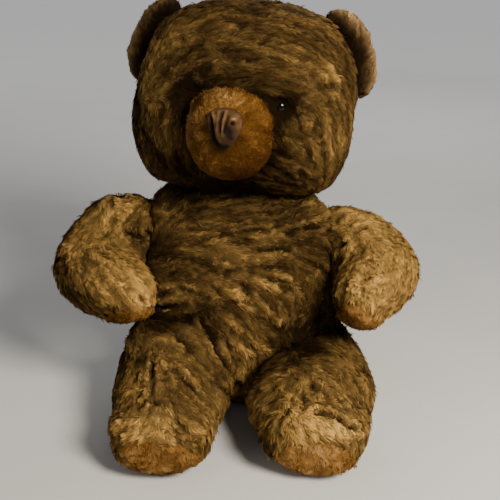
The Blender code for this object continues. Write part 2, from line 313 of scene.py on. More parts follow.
def combed(points, normals, strokes, fall, wander, seed):
    """Which way the pile lies at each point, along the surface."""
    flow = np.tile(np.array(fall, float) * FALL_SHARE, (len(points), 1))
    for stroke in strokes:
        flow += around(points, stroke[:3], COMB_REACH)[:, None] * (np.array(stroke[3:]) / 10)
    flow = level(flow, normals)
    behind = np.clip((points[:, 1:2] - BEHIND_START) / BEHIND_DEPTH, 0, 1)
    for size, share in STRAYS:
        flow = flow + share * wander * (1 + BEHIND_STRAY * behind) * ripples(points, size, seed)
    return level(flow, normals)


def streaks(points, flow, width, half, seed):
    """Noise drawn out along the pile, from about -1 to 1."""
    steps = np.linspace(-half, half, STREAK_STEPS)
    return np.tanh(sum(ripple(points + flow * step, width, seed, STREAK_WAVES) for step in steps) / 3.0)


# Pile ---

Style = namedtuple("Style", "length width lift rise stray curl mottle lock clump wild", defaults=(60, 8, 0.02))
HEAD_PILE = Style(4.4 * MM, 0.36 * MM, 0.15, 0.015, 0.05, 0.4 * MM, 0.012)
BODY_PILE = Style(4.8 * MM, 0.36 * MM, 0.16, 0.02, 0.06, 0.6 * MM, 0.015)
LIMB_PILE = Style(4.6 * MM, 0.34 * MM, 0.15, 0.015, 0.05, 0.5 * MM, 0.01)
EAR_PILE = Style(2.6 * MM, 0.36 * MM, 0.25, 0.03, 0.15, 0.2 * MM, 0.015)
VELOUR_PILE = Style(1.9 * MM, 0.32 * MM, 0.2, 0.03, 0.15, 0.2 * MM, 0.02)
PAD_PILE = Style(3.2 * MM, 0.34 * MM, 0.3, 0.06, 0.3, 0.5 * MM, 0.06, 40, 8, 0.05)
DRAW = 0.08  # how far a clump's tips lean together
SOFTNESS = 0.85  # how much of the cloth's own shading the pile takes on
MIDDLE = 0.5  # where along a fibre it bends
FIBRE_LENGTHS = (0.72, 1.12)
LOCK_LENGTHS = (0.85, 1.12)
FIBRE_WIDTHS = (0.7, 1.3)
FIBRE_TURN = 0.14
FIBRE_LEAN = 0.04
FIBRE_ROLL = 0.3
FIBRE_TONE = 0.055
TONE_WIDTH = 0.004
TONE_RANGE = (0.02, 0.98)
LIFT_RANGE = (0.05, 0.95)
WILD_LONGER = 0.25
WILD_LEAN = 0.35
WILD_THINNER = 0.4
LOWEST_FIBRE = 0.3 * MM


def nearest_of(points, centres):
    tree = KDTree(len(centres))
    for index, centre in enumerate(centres.tolist()):
        tree.insert(centre, index)
    tree.balance()
    return np.array([tree.find(point)[1] for point in points.tolist()])


def grow_pile(name, roots, normals, flow, tone, longer, lift, style, seed):
    """A mesh of tapered fibres, gathered in locks and smaller clumps. Its map gives tone across and root to tip up."""
    random = np.random.default_rng(seed)
    count = len(roots)
    length = style.length * longer * random.uniform(*FIBRE_LENGTHS, count)
    turn = random.normal(0, FIBRE_TURN, count)
    lean = random.normal(0, FIBRE_LEAN, count)
    pull = np.zeros((count, 3))
    curl = np.zeros(count)
    phase = random.uniform(0, 0.6, count)
    for share, stray in ((style.lock, style.stray), (style.clump, 0.6 * style.stray)):
        many = max(count // share, 1)
        centres = random.choice(count, many, replace=False)
        which = nearest_of(roots, roots[centres])
        turn += random.normal(0, stray, many)[which]
        length *= random.uniform(*LOCK_LENGTHS, many)[which]
        lean += random.normal(0, style.rise, many)[which]
        curl += random.normal(0, style.curl, many)[which]
        phase += random.uniform(0, 2 * np.pi, many)[which]
        pull += DRAW * (roots[centres][which] - roots)
        tone = tone + random.normal(0, style.mottle, many)[which]
    wild = random.random(count) < style.wild
    length *= 1 + WILD_LONGER * wild
    lean += WILD_LEAN * wild * random.random(count)
    tone = np.clip(tone + random.normal(0, FIBRE_TONE, count), *TONE_RANGE)
    side = np.cross(normals, flow)
    way = flow * np.cos(turn)[:, None] + side * np.sin(turn)[:, None]
    side = np.cross(normals, way)
    lift = np.clip(style.lift + lean + lift, *LIFT_RANGE)[:, None]
    pull -= normals * dot(pull, normals)
    roll = random.normal(0, FIBRE_ROLL, count)
    half = normals * np.sin(roll)[:, None] - side * np.cos(roll)[:, None]
    half *= (0.5 * style.width * random.uniform(*FIBRE_WIDTHS, count) * (1 - WILD_THINNER * wild))[:, None]
    rows = []
    for t in (MIDDLE, 1.0):  # a fibre rises, then bends over, swings sideways and leans to its clump
        up = length[:, None] * lift * (1.5 * t - 0.6 * t * t)
        along = length[:, None] * np.sqrt(1 - 0.8 * lift * lift) * t**1.15
        swing = (curl * (np.sin(phase + 3.6 * t) - np.sin(phase)))[:, None]
        rows.append(roots + normals * up + way * along + side * swing + pull * t**1.4)
    points = np.stack([roots - half, roots + half, rows[0] - half, rows[1]], 1)
    points[:, :, 2] = np.maximum(points[:, :, 2], LOWEST_FIBRE)
    corners = np.array([(0, 1, 2), (1, 3, 2)])
    triangles = np.arange(count)[:, None, None] * 4 + corners
    for face, (a, b, c) in enumerate(corners):
        facing = dot(np.cross(points[:, b] - points[:, a], points[:, c] - points[:, a]), normals)[:, 0]
        turned = facing < 0
        triangles[turned, face] = triangles[turned, face][:, [0, 2, 1]]
    across = tone[:, None] + TONE_WIDTH * np.array([-1, 1, -1, 0])
    heights = np.tile(0.02 + 0.96 * np.array([0, 0, MIDDLE, 1]), (count, 1))
    look_up = np.stack([across, heights], 2).reshape(-1, 2)
    return pile_mesh(name, points.reshape(-1, 3), triangles.reshape(-1, 3), look_up, np.repeat(normals, 4, axis=0))


def pile_mesh(name, points, triangles, look_up, soft):
    mesh = bpy.data.meshes.new(name)
    mesh.vertices.add(len(points))
    mesh.vertices.foreach_set("co", points.astype(np.float32).ravel())
    mesh.loops.add(triangles.size)
    mesh.loops.foreach_set("vertex_index", triangles.astype(np.int32).ravel())
    mesh.polygons.add(len(triangles))
    mesh.polygons.foreach_set("loop_start", np.arange(0, triangles.size, 3, dtype=np.int32))
    mesh.polygons.foreach_set("use_smooth", np.ones(len(triangles), bool))
    mesh.update(calc_edges=True)
    layer = mesh.uv_layers.new(name="OFBake")
    layer.data.foreach_set("uv", look_up[triangles.ravel()].astype(np.float32).ravel())
    own = read(mesh.vertices, "normal", 3)
    own *= np.sign(dot(own, soft))
    mesh.normals_split_custom_set_from_vertices(unit(own * (1 - SOFTNESS) + soft * SOFTNESS))
    return link(name, mesh)


# Materials ---


class Shader:
    """A material's node tree, with short ways to add and join nodes."""

    def __init__(self, name, roughness, specular):
        self.material = bpy.data.materials.new(name)
        self.material.use_nodes = True
        self.nodes = self.material.node_tree.nodes
        self.links = self.material.node_tree.links
        self.surface = self.nodes["Principled BSDF"]
        self.surface.inputs["Roughness"].default_value = roughness
        self.surface.inputs["Specular IOR Level"].default_value = specular

    def add(self, kind, settings=None, **inputs):
        node = given(self.nodes.new(kind), **(settings or {}))
        for key, value in inputs.items():
            self.put(node.inputs[key.replace("_", " ")], value)
        return node

    def put(self, socket, value):
        if isinstance(value, bpy.types.NodeSocket):
            self.links.new(value, socket)
        else:
            socket.default_value = value

    def ramp(self, value, *stops):
        node = self.nodes.new("ShaderNodeValToRGB")
        self.put(node.inputs["Fac"], value)
        elements = node.color_ramp.elements
        while len(elements) < len(stops):
            elements.new(0.5)
        for element, (place, colour) in zip(elements, stops):
            element.position = place
            element.color = (*colour, 1) if hasattr(colour, "__len__") else (colour, colour, colour, 1)
        return node.outputs["Color"]

    def mix(self, kind, amount, a, b):
        node = given(self.nodes.new("ShaderNodeMix"), data_type="RGBA", blend_type=kind)
        for index, value in ((0, amount), (6, a), (7, b)):
            self.put(node.inputs[index], value)
        return node.outputs[2]

    def place(self):
        return self.add("ShaderNodeTexCoord").outputs["Object"]

    def noise(self, scale, detail, roughness, stretch=None):
        place = self.place()
        if stretch:
            place = self.add("ShaderNodeMapping", Vector=place, Scale=stretch).outputs["Vector"]
        node = self.add("ShaderNodeTexNoise", Vector=place, Scale=scale, Detail=detail, Roughness=roughness)
        return node.outputs["Fac"]

    def tone(self):
        return self.add("ShaderNodeAttribute", {"attribute_name": "tone"}).outputs["Fac"]

    def bump(self, height, strength, distance):
        node = self.add("ShaderNodeBump", Height=height, Strength=strength, Distance=distance)
        self.links.new(node.outputs["Normal"], self.surface.inputs["Normal"])

    def grain(self, amount, colour, height, darkest):
        """A colour, darker where a noise is low."""
        return self.mix("MULTIPLY", amount, colour, self.ramp(height, (0.3, darkest), (0.7, 1.0)))

    def colour(self, value):
        self.put(self.surface.inputs["Base Color"], value)
        return self.material


def noisy_material(name, look, noise, low, high, bump=None):
    """A colour that follows one noise, which may also stand up as bump."""
    shader = Shader(name, *look)
    height = shader.noise(*noise)
    if bump:
        shader.bump(height, *bump)
    return shader.colour(shader.ramp(height, low, high))


def pile_material(name, tones, root=0.56):
    """Fibres: the map gives their tone across, and their root to their tip up."""
    shader = Shader(name, 0.85, 0.04)
    place = shader.add("ShaderNodeUVMap", {"uv_map": "OFBake"}).outputs["UV"]
    apart = shader.add("ShaderNodeSeparateXYZ", Vector=place)
    tone = shader.ramp(apart.outputs["X"], *tones)
    along = shader.ramp(apart.outputs["Y"], (0.0, root), (0.45, 0.85), (1.0, 1.0))
    return shader.colour(shader.mix("MULTIPLY", 1.0, tone, along))


def backing_material(name, dark, light):
    """Worn backing cloth with a felted rest of its pile, with painted shade where it lies deep."""
    shader = Shader(name, 0.95, 0.03)
    fine = shader.noise(900, 5, 0.7)
    patch = shader.noise(60, 3, 0.6)
    shader.bump(fine, 0.6, 0.6 * MM)
    mixed = shader.mix("MIX", shader.tone(), (*dark, 1), (*light, 1))
    return shader.colour(shader.grain(0.5, shader.grain(0.7, mixed, fine, 0.35), patch, 0.5))


BROWN_TONES = (
    (0.0, (0.008, 0.004, 0.001)), (0.25, (0.047, 0.0255, 0.007)), (0.5, (0.142, 0.081, 0.023)),
    (0.75, (0.35, 0.198, 0.055)), (1.0, (0.68, 0.40, 0.112)),
)
EAR_TONES = (
    (0.0, (0.012, 0.006, 0.003)), (0.25, (0.050, 0.029, 0.010)), (0.5, (0.148, 0.088, 0.035)),
    (0.75, (0.33, 0.20, 0.088)), (1.0, (0.60, 0.395, 0.185)),
)
TAN_TONES = (
    (0.0, (0.04, 0.014, 0.002)), (0.3, (0.135, 0.058, 0.011)),
    (0.6, (0.32, 0.163, 0.046)), (1.0, (0.70, 0.44, 0.18)),
)


# What each cover is ---

# near: the covers it is sewn to. fall: where its pile falls. under: nodes no fibre grows inside. voxel: of its form's
# remesh. depth: how far its cloth lies inside its solid.
Part = namedtuple("Part", "near strands tone style fall under voxel depth", defaults=((), 4.4 * MM, 1.5 * MM))
PARTS = {
    "head": Part(
        ("torso", "ear_right", "ear_left"), 84000, 0.295, HEAD_PILE, (0, 0.2, -1),
        ("muzzle_cover", "eye_left", "eye_right"), 5.0 * MM, 1.3 * MM,
    ),
    "torso": Part(
        ("head", "arm_right", "arm_left", "leg_right", "leg_left"), 78000, 0.315, BODY_PILE, (0, 0, -1),
        (), 5.0 * MM, 1.9 * MM,
    ),
    # The arms and legs have lighter tones than the head and body, and the bear's left covers lighter than its right:
    # partly the pile's own golden colour, partly painted light.
    "arm_right": Part(("torso", "leg_right"), 36000, 0.63, LIMB_PILE, (-0.2, -1, -0.5)),
    "arm_left": Part(("torso", "leg_left"), 36000, 0.71, LIMB_PILE, (0.2, -1, -0.5)),
    "leg_right": Part(("torso", "arm_right"), 42000, 0.48, LIMB_PILE, (0, -1, -0.3)),
    "leg_left": Part(("torso", "arm_left"), 42000, 0.52, LIMB_PILE, (0, -1, -0.3)),
    "muzzle": Part(("head",), 20000, 0.34, VELOUR_PILE, (0.3, 0, -1), ("nose",), 3.2 * MM, 0.1 * MM),
    "ear_right": Part(("head",), 13000, 0.57, EAR_PILE, (-0.3, 0, 1), (), 3.2 * MM, 0.2 * MM),
    "ear_left": Part(("head",), 13000, 0.62, EAR_PILE, (0.3, 0, 1), (), 3.2 * MM, 0.2 * MM),
}
PADS = {
    "sole_right": "leg_right", "sole_left": "leg_left",
    "paw_pad_right": "arm_right", "paw_pad_left": "arm_left",
}
PAD_STRANDS = 8000
PAD_EDGE = 2.5 * MM
PAD_NEAR = 1.2 * MM  # pile this near a pad, and further inside its rim than a ragged line, doesn't grow
PAD_INSIDE = 2.6 * MM
PAD_RAGGED = 3.2 * MM
PAD_EDGE_LONGER = 0.3
PAD_EDGE_LIFT = 0.12
# The paw pads are set darker than the soles, and the left sole lighter than the right: partly painted shade and light.
PAD_TONES = {"sole_right": 0.44, "sole_left": 0.52, "paw_pad_right": 0.37, "paw_pad_left": 0.38}


def nodes_of(name):
    """The nodes of a part's form: its cover, then its filling and the pad on it."""
    pads = [pad for pad, limb in PADS.items() if limb == name]
    return [node for node in (f"{name}_cover", name, f"{name}_stuffing", *pads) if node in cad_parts]


# Not by hand: a program printed most of STROKES and MARKS, and part of SPOTS and of the table of painted shade,
# light and dirt. It cast places that were picked on the photo onto the solids. Another program wrote all four as
# whole numbers.

# Where the pile is combed: place in mm, then direction in tenths.
STROKES = {
    "head": (
        (-11,6,250, 10,-1,2), (3,3,251, 10,-2,-1), (-32,2,236, 8,-1,6), (26,-7,238, 10,0,-2),
        (50,-4,229, 7,2,-6), (-50,5,215, 5,-2,9), (-20,-9,221, 9,-1,4), (9,-12,224, 10,-1,0),
        (32,-13,219, 9,0,-3), (60,-5,199, 3,1,-9), (-55,3,185, 0,0,-10), (-36,-6,194, -3,-1,-9),
        (-51,13,157, 2,6,-8), (38,-16,190, 7,-1,-7), (60,-6,175, 1,3,-9), (33,-10,164, 9,2,-4),
        (-23,19,143, 4,7,-6), (9,6,147, 10,-2,-1),
    ),
    "torso": (
        (-42,21,122, 2,5,9), (-17,17,130, 10,-2,0), (15,16,130, 10,1,0), (48,24,124, 7,7,-1),
        (-30,9,112, 9,-4,0), (3,7,113, 10,0,0), (42,12,111, 10,3,0), (-23,1,94, 10,-2,0), (15,0,98, 10,1,-1),
        (48,6,89, 6,0,-8), (-23,-5,76, 8,-4,-5), (3,-7,73, 7,-2,-7), (28,-5,76, 8,-2,-6),
        (15,-14,55, 6,-4,-7), (1,-17,20, 0,1,-10), (48,-6,62, -8,-5,-4),
    ),
    "arm_right": (
        (-74,31,132, -3,-8,1), (-88,17,126, -8,-5,-4), (-102,1,118, -2,-10,-2), (-104,-24,105, 0,-7,-7),
        (-84,-17,115, 6,-7,-3), (-69,8,105, 5,-3,-8), (-75,-37,104, 7,-5,-5), (-57,-37,100, 7,-4,-6),
        (-50,-33,90, 2,4,-9), (-94,-36,93, 7,-5,-6), (-82,57,114, -4,0,-9), (-98,48,108, -5,-4,-7),
        (-66,58,116, 1,0,-10), (-84,52,96, -2,-5,-8),
    ),
    "arm_left": (
        (65,26,120, 9,-5,0), (84,16,120, 8,-6,-2), (106,1,112, 2,-10,-2), (110,-20,99, -1,-9,-5),
        (69,8,105, -2,-4,-9), (86,-20,110, 1,-9,-3), (69,-35,99, -3,-7,-7), (90,-38,97, -4,-7,-6),
        (104,-31,86, -6,-8,-2), (76,-44,90, -2,0,-10), (82,55,106, 4,0,-9), (100,46,102, 5,-4,-7),
        (66,54,108, -1,0,-10), (84,50,88, 2,-5,-8),
    ),
    "leg_right": (
        (-47,-28,64, 9,-4,0), (-29,-22,66, 8,-4,-4), (-16,-35,55, 6,-6,-5), (-59,-36,57, -3,-9,-3),
        (-66,-58,47, -2,-9,-4), (-39,-58,54, 6,-7,-4), (-21,-62,46, 6,-5,-6), (-49,-78,49, 1,-10,0),
        (-12,-70,33, 4,-4,-8), (-58,-95,43, -4,-5,-7), (-41,-100,39, 0,-5,-9), (-22,-96,37, 5,-2,-9),
        (-67,-97,31, -3,0,-10),
    ),
    "leg_left": (
        (25,-31,46, -8,-2,-5), (47,-32,52, 10,1,1), (68,-35,50, 5,-8,-1), (79,-56,42, 1,-9,-4),
        (12,-41,29, -1,7,-7), (33,-67,45, -6,-7,-4), (56,-70,47, 4,-9,-2), (37,-98,41, 1,-5,-9),
        (55,-99,42, 7,-3,-7), (76,-88,35, -1,-7,-7), (29,-99,32, 2,-1,-10),
    ),
}

# Locks that stand up, and creases, on every cover that they pass: the line's half width and rise in tenths of a mm,
# what it adds to the tone in hundredths, which is painted shade down a crease and painted light along a lock, then
# where it starts and the steps to its next places, in mm.
MARKS = (
    (21,14,26, -49,30,121, 6,-7,2, 5,-4,2), (15,11,20, -31,20,130, 3,-4,-5),
    (22,11,21, -30,11,114, 7,-1,2, 7,-1,-1), (20,11,21, -21,7,110, 7,0,0, 6,0,2),
    (21,12,22, 9,8,114, 12,1,1, 12,1,-3), (20,12,26, 39,12,113, 7,2,0, 6,2,-5),
    (20,9,16, 9,1,100, 8,0,0, 6,0,-2), (19,11,22, 12,-1,94, 10,0,-3, 10,1,-2),
    (19,11,26, 10,-2,88, 9,0,-3, 9,1,-2), (19,12,29, -10,-3,81, 7,-1,-1, 7,-1,-2),
    (20,12,29, 35,-2,79, 5,0,-2, 5,2,1), (17,11,26, 0,-6,75, 4,-1,-3, 5,0,-2),
    (21,14,29, 26,-6,74, 5,-2,-5, -4,-2,-5), (18,11,20, -9,-8,69, 5,-2,-7, 5,-1,-3),
    (18,15,42, -3,-14,51, 7,-2,-6, 6,-2,-2), (17,12,29, 9,-16,50, 6,-1,-2, 6,-1,-2),
    (17,9,18, 0,-19,36, 4,1,-5), (25,16,30, -48,7,89, 3,-3,-7), (18,11,21, -34,0,84, 5,-2,-2),
    (17,11,23, -26,-6,73, 3,1,3), (17,11,23, -19,-7,72, 4,1,4), (18,-36,-60, -51,5,77, 4,-1,-2, 4,-3,4),
    (21,-33,-44, -48,3,66, 7,-4,3, 7,-3,2), (22,-24,-31, -34,-9,69, 5,-8,-1),
    (16,-20,-31, 32,12,116, 9,3,1, 9,5,-1), (16,-22,-38, 14,5,107, 9,1,0, 11,1,-1),
    (18,-18,-31, -7,0,93, 8,0,1), (18,-15,-25, 25,12,120, 5,1,1),
    (18,-24,-28, -42,1,79, 8,-2,2, 5,-2,-2, 10,-3,-2), (18,-14,-22, 3,-3,85, 5,-1,-6),
    (28,-40,-65, -20,-14,65, 7,-8,-6, 3,-7,-7, 4,-4,-6, 5,5,-12, 1,11,-15),
    (20,15,23, -55,-30,61, 8,0,2, 7,-3,0), (19,16,42, -40,-34,63, 4,-2,-1, 4,-3,-1),
    (12,11,26, -52,-37,60, 4,-8,-1, 4,-5,-1, 1,-4,-2), (12,9,18, -53,-32,61, -2,-8,-3),
    (19,12,21, -69,-18,53, 0,-8,-1, 6,-9,3), (17,12,29, -34,-57,54, 6,-1,-3, 5,-3,-3),
    (16,12,18, -24,-59,50, 6,-2,-5, 4,-2,-5), (20,14,36, -57,-56,52, 2,-6,-1), (20,9,18, -65,-66,45, 6,0,3),
    (18,7,14, -56,-82,48, 3,13,1, 1,6,2), (17,9,18, -40,-59,53, 3,-6,-3), (16,18,39, -38,-90,48, 2,-2,-1),
    (29,22,23, -69,-91,37, 6,-2,5, 7,-2,2), (15,16,39, -38,-96,45, 4,-1,-2, 3,-2,-4),
    (27,20,33, -25,-96,40, 5,1,-4, 3,2,-6), (16,15,29, -30,-99,38, 2,-2,-5), (19,12,21, -23,-99,30, 4,3,2),
    (24,18,44, -41,-101,32, 5,0,-1), (25,14,18, -60,-100,35, 6,0,1), (19,12,29, -47,-100,37, 4,-1,-1),
    (16,-26,-42, -51,-50,55, 1,-10,-3, 1,-10,-2, 2,-10,-1, 1,-8,0), (17,-24,-40, -48,-91,48, 4,-2,-1, 5,0,0),
    (12,-22,-50, -39,-100,38, 3,-1,-2, 3,0,-4), (12,-22,-50, -26,-100,33, 1,0,-6),
    (20,-30,-40, -74,-83,33, 7,-6,8, 8,-3,4, 10,-1,2),
    (16,-24,-40, -37,-54,54, 7,-7,-4, 5,-4,-3, 6,-6,-4, 6,-6,-8, 4,-5,-8),
    (20,-15,-30, -14,-54,45, 4,0,-5, 5,13,-14),
    (22,-11,-20, -39,-24,66, 6,-9,-3, 6,-5,-3, 6,-5,-5, 6,-4,-6, 5,-4,-8), (15,-14,-25, -46,-63,51, 5,0,1),
    (22,15,36, 27,-61,44, 3,-7,0), (22,14,29, 25,-70,40, 4,-4,2, 5,-12,4), (16,11,21, 34,-72,44, 2,-13,3),
    (19,20,49, 43,-90,48, 4,5,1), (17,16,36, 49,-73,47, 1,-8,1), (17,12,21, 53,-83,48, 5,-2,0),
    (19,16,36, 31,-85,45, 6,-7,2, 6,-3,-2), (22,20,36, 47,-93,48, 7,0,-1, 6,0,-1, 3,-3,-4),
    (22,18,34, 66,-97,40, 4,2,-4, 4,2,-4), (34,11,21, 37,-97,43, 7,-2,-1, 12,-1,-3),
    (17,15,36, 48,-45,52, 2,-3,0), (18,11,21, 32,-47,49, 3,-4,1), (17,11,18, 67,-74,45, 0,-12,0),
    (25,12,18, 75,-73,40, 3,-5,-3), (16,11,18, 7,-16,11, 6,-40,20),
    (18,-44,-75, 44,-91,47, 10,-2,-2, 7,-2,-3, 4,-1,-3, 3,1,-2), (16,-34,-60, 68,-95,37, 4,2,-2, 5,5,-2),
    (24,-21,-31, 45,-63,49, 5,-6,-1, 5,-4,-1, 6,-3,-1), (16,-17,-28, 38,-70,46, 2,-9,0),
    (18,-21,-31, 59,-79,46, 4,-5,0, 5,1,-2), (20,22,36, -91,-14,116, 6,-5,-2, 7,-5,-2, 7,-7,-4),
    (27,14,36, -66,-29,108, 6,-4,-4, 5,-3,-4, 3,1,-6), (12,10,30, -53,-36,95, 3,4,-9),
    (12,18,33, -55,-38,96, 1,-1,-8), (17,14,26, -64,-42,97, 5,0,-3, 1,0,-5), (18,14,33, -86,16,125, 3,-5,-4),
    (17,9,21, -99,11,122, 5,1,1), (18,11,16, -90,27,130, 7,-9,-3), (18,12,21, -79,43,132, 7,-7,1),
    (20,11,21, -76,25,130, 5,-2,-3), (10,14,26, -67,16,117, 4,3,0, 2,0,-5), (11,12,26, -84,-13,116, 4,-1,-2),
    (13,12,29, -80,-31,109, 3,-3,-2), (18,9,20, -100,-18,113, 3,-7,-4), (13,12,26, -72,-39,102, 6,0,-1),
    (16,-21,-31, -80,-27,111, 6,-7,-4, 6,-3,-3), (16,-17,-31, -91,-10,117, 3,3,0),
    (15,-15,-28, -87,2,118, 4,5,0), (20,-22,-40, -71,12,115, 6,3,-4), (20,-30,-53, -60,20,114, 2,0,-5),
    (19,-15,-25, -84,29,132, 4,-8,-3, 1,-5,-4), (12,-17,-28, -69,36,133, 4,-6,-3),
    (12,-17,-30, -63,33,130, 2,-5,-3), (15,-42,-90, -57,-40,95, 3,2,-6, 1,1,-9),
    (14,-30,-70, -62,-43,93, 2,0,-9), (15,-15,-28, -69,-41,100, 4,1,0), (19,-15,-25, -86,-32,107, 4,-3,-2),
    (15,-15,-25, -71,-19,111, 5,-5,-1), (20,14,36, 84,-32,104, 5,0,0, 4,2,0), (19,12,29, 102,-13,109, 6,4,-2),
    (19,14,34, 80,-42,95, 1,-2,-5), (21,14,31, 87,-43,92, 7,3,-2), (17,11,23, 96,11,117, 7,-2,-3, 5,-1,-2),
    (17,9,18, 76,18,119, 6,2,3, 8,2,0), (12,11,21, 81,-2,112, 0,-12,-1), (13,9,16, 64,-36,89, 2,0,7),
    (12,11,21, 73,-42,92, 0,3,5), (13,12,31, 95,-39,82, 5,5,-1), (15,-20,-38, 77,15,117, 6,1,2),
    (12,-15,-28, 88,7,115, 5,0,1), (20,-15,-28, 66,25,119, 3,2,3), (19,-30,-56, 65,14,106, 4,-3,3),
    (19,-18,-33, 74,-38,99, 5,-2,-1), (15,-14,-25, 78,-16,109, 8,-2,2),
    (12,-18,-35, 71,-34,100, 1,-6,-3, -1,-1,-6), (14,-22,-38, 90,-42,80, 5,3,3, 6,5,1),
    (18,-12,-20, 70,21,118, 6,-1,3), (16,12,18, 38,8,250, 7,-1,-4, 7,4,-3),
    (15,-18,-25, 37,14,253, 8,-2,-4, 6,3,-3), (20,11,18, 56,6,236, 7,5,-5, 3,0,-6),
    (20,11,26, 44,-7,228, 7,2,-2, 6,5,-2), (19,11,26, 50,-7,222, 7,5,-3, 9,7,-4),
    (20,11,16, 56,-6,209, 9,7,-3, 6,9,-6), (15,12,36, 45,-12,199, 3,0,-2), (18,11,21, 53,-10,200, 2,1,-5),
    (13,11,21, 40,-15,193, 1,0,-6), (25,9,16, -20,-1,240, 7,-5,-5, 5,-3,-5),
    (18,9,13, -14,1,245, 7,1,3, 7,0,0), (10,12,39, -44,-3,180, 2,-1,-2),
    (22,9,13, -45,20,242, 6,-2,5, 8,-3,2), (20,-15,-18, -35,-1,229, 8,-1,6, 7,1,5),
    (16,-15,-30, -33,6,241, 2,-3,-2), (20,-24,-40, -21,-9,220, 5,0,4), (18,-14,-20, 6,-11,230, 6,0,1),
    (19,-14,-20, -3,-1,245, 7,3,4), (19,-14,-20, 15,-6,240, 5,2,3), (16,-17,-28, 44,-10,221, 9,3,-5, 9,7,-3),
    (16,-15,-22, 47,-10,215, 13,8,-4), (16,-15,-28, 35,-14,209, 10,2,2), (16,-15,-30, 37,-9,162, 5,4,-4),
    (30,-12,-20, 43,-15,187, 3,1,-1), (14,-18,-20, 3,84,16, 1,8,22, 0,2,32, 0,-1,30, -1,-7,30),
    (13,-14,-15, -22,84,160, -2,8,20, 0,0,30, 2,-10,24, 2,-20,14),
    (13,-14,-15, 28,84,160, 2,10,20, 2,-1,30, 1,-11,22, 3,-20,11),
)

# Painted shade and painted light, with dirt and bleached places: the shadows that the arms cast, shade in creases,
# armpits and under the chin, and lit places. Place and reach in mm, and what they add to the tone of every cover near,
# in hundredths.
PAINTED_SHADE_LIGHT_AND_DIRT = (
    (-50,19,105, 9,-14), (-43,9,99, 8,-6), (41,-12,56, 13,-34), (56,2,71, 12,3), (59,15,90, 7,-25),
    (57,12,105, 12,-38), (54,20,124, 10,-30), (41,15,124, 10,-16), (31,11,116, 10,-16), (28,-21,50, 8,-30),
    (-5,23,139, 14,-8), (15,-41,37, 8,-20), (-57,-43,57, 5,-26), (-13,-43,49, 8,-10), (-22,-91,42, 5,-10),
    (-7,-46,23, 7,-10), (63,-101,33, 4,-30), (28,-97,36, 6,-14), (20,-43,43, 7,-18), (17,-28,40, 5,-25),
    (53,-29,53, 9,-25), (71,-5,49, 7,-30), (35,-34,51, 7,-20), (-111,-14,106, 7,-16), (-104,-30,92, 5,-32),
    (-94,-35,95, 8,-14), (-70,14,119, 9,-22), (-102,-29,87, 5,-12), (65,6,98, 8,-28), (104,-32,86, 9,-16),
    (66,-38,83, 5,-20), (64,19,110, 5,-25), (59,-22,90, 7,-30), (-28,-6,210, 6.5,-50), (-23,-19,207, 5,-40),
    (29,-13,205, 5,-28), (21,-14,205, 4,-30), (-36,3,162, 13,-30), (-19,9,149, 13,-25), (3,6,148, 14,-30),
    (34,-2,153, 10,-14), (67,-1,183, 9,12), (0,-25,208, 5.5,28), (3,-24,167, 9,-20), (-15,-20,190, 8,12),
    (52,22,122, 12,10), (61,-3,168, 9,6), (-20,-11,66, 10,-40), (-53,-15,68, 12,-55), (-40,-14,69, 9,-15),
    (-69,-36,87, 10,-26), (65,-38,86, 9,-32), (46,-23,57, 8,-45), (-6,-33,46, 8,-28), (26,-80,44, 10,15),
    (-60,-58,50, 9,10), (35,-13,211, 7,-14), (27,-31,44, 8,-15), (-33,22,140, 12,-25), (-21,1,98, 12,-15),
    (-60,-70,47, 14,22), (37,-82,46, 12,15), (-104,-5,112, 10,22), (-55,20,228, 14,40), (-56,8,203, 12,28),
    (-44,14,240, 11,14), (-25,-6,225, 12,-20), (13,-8,227, 12,-15), (-46,-88,49, 5,-34), (-4,-35,174, 12,-14),
    (-13,-22,59, 7,-25), (-30,-10,68, 8,-22), (56,-1,225, 10,6),
)
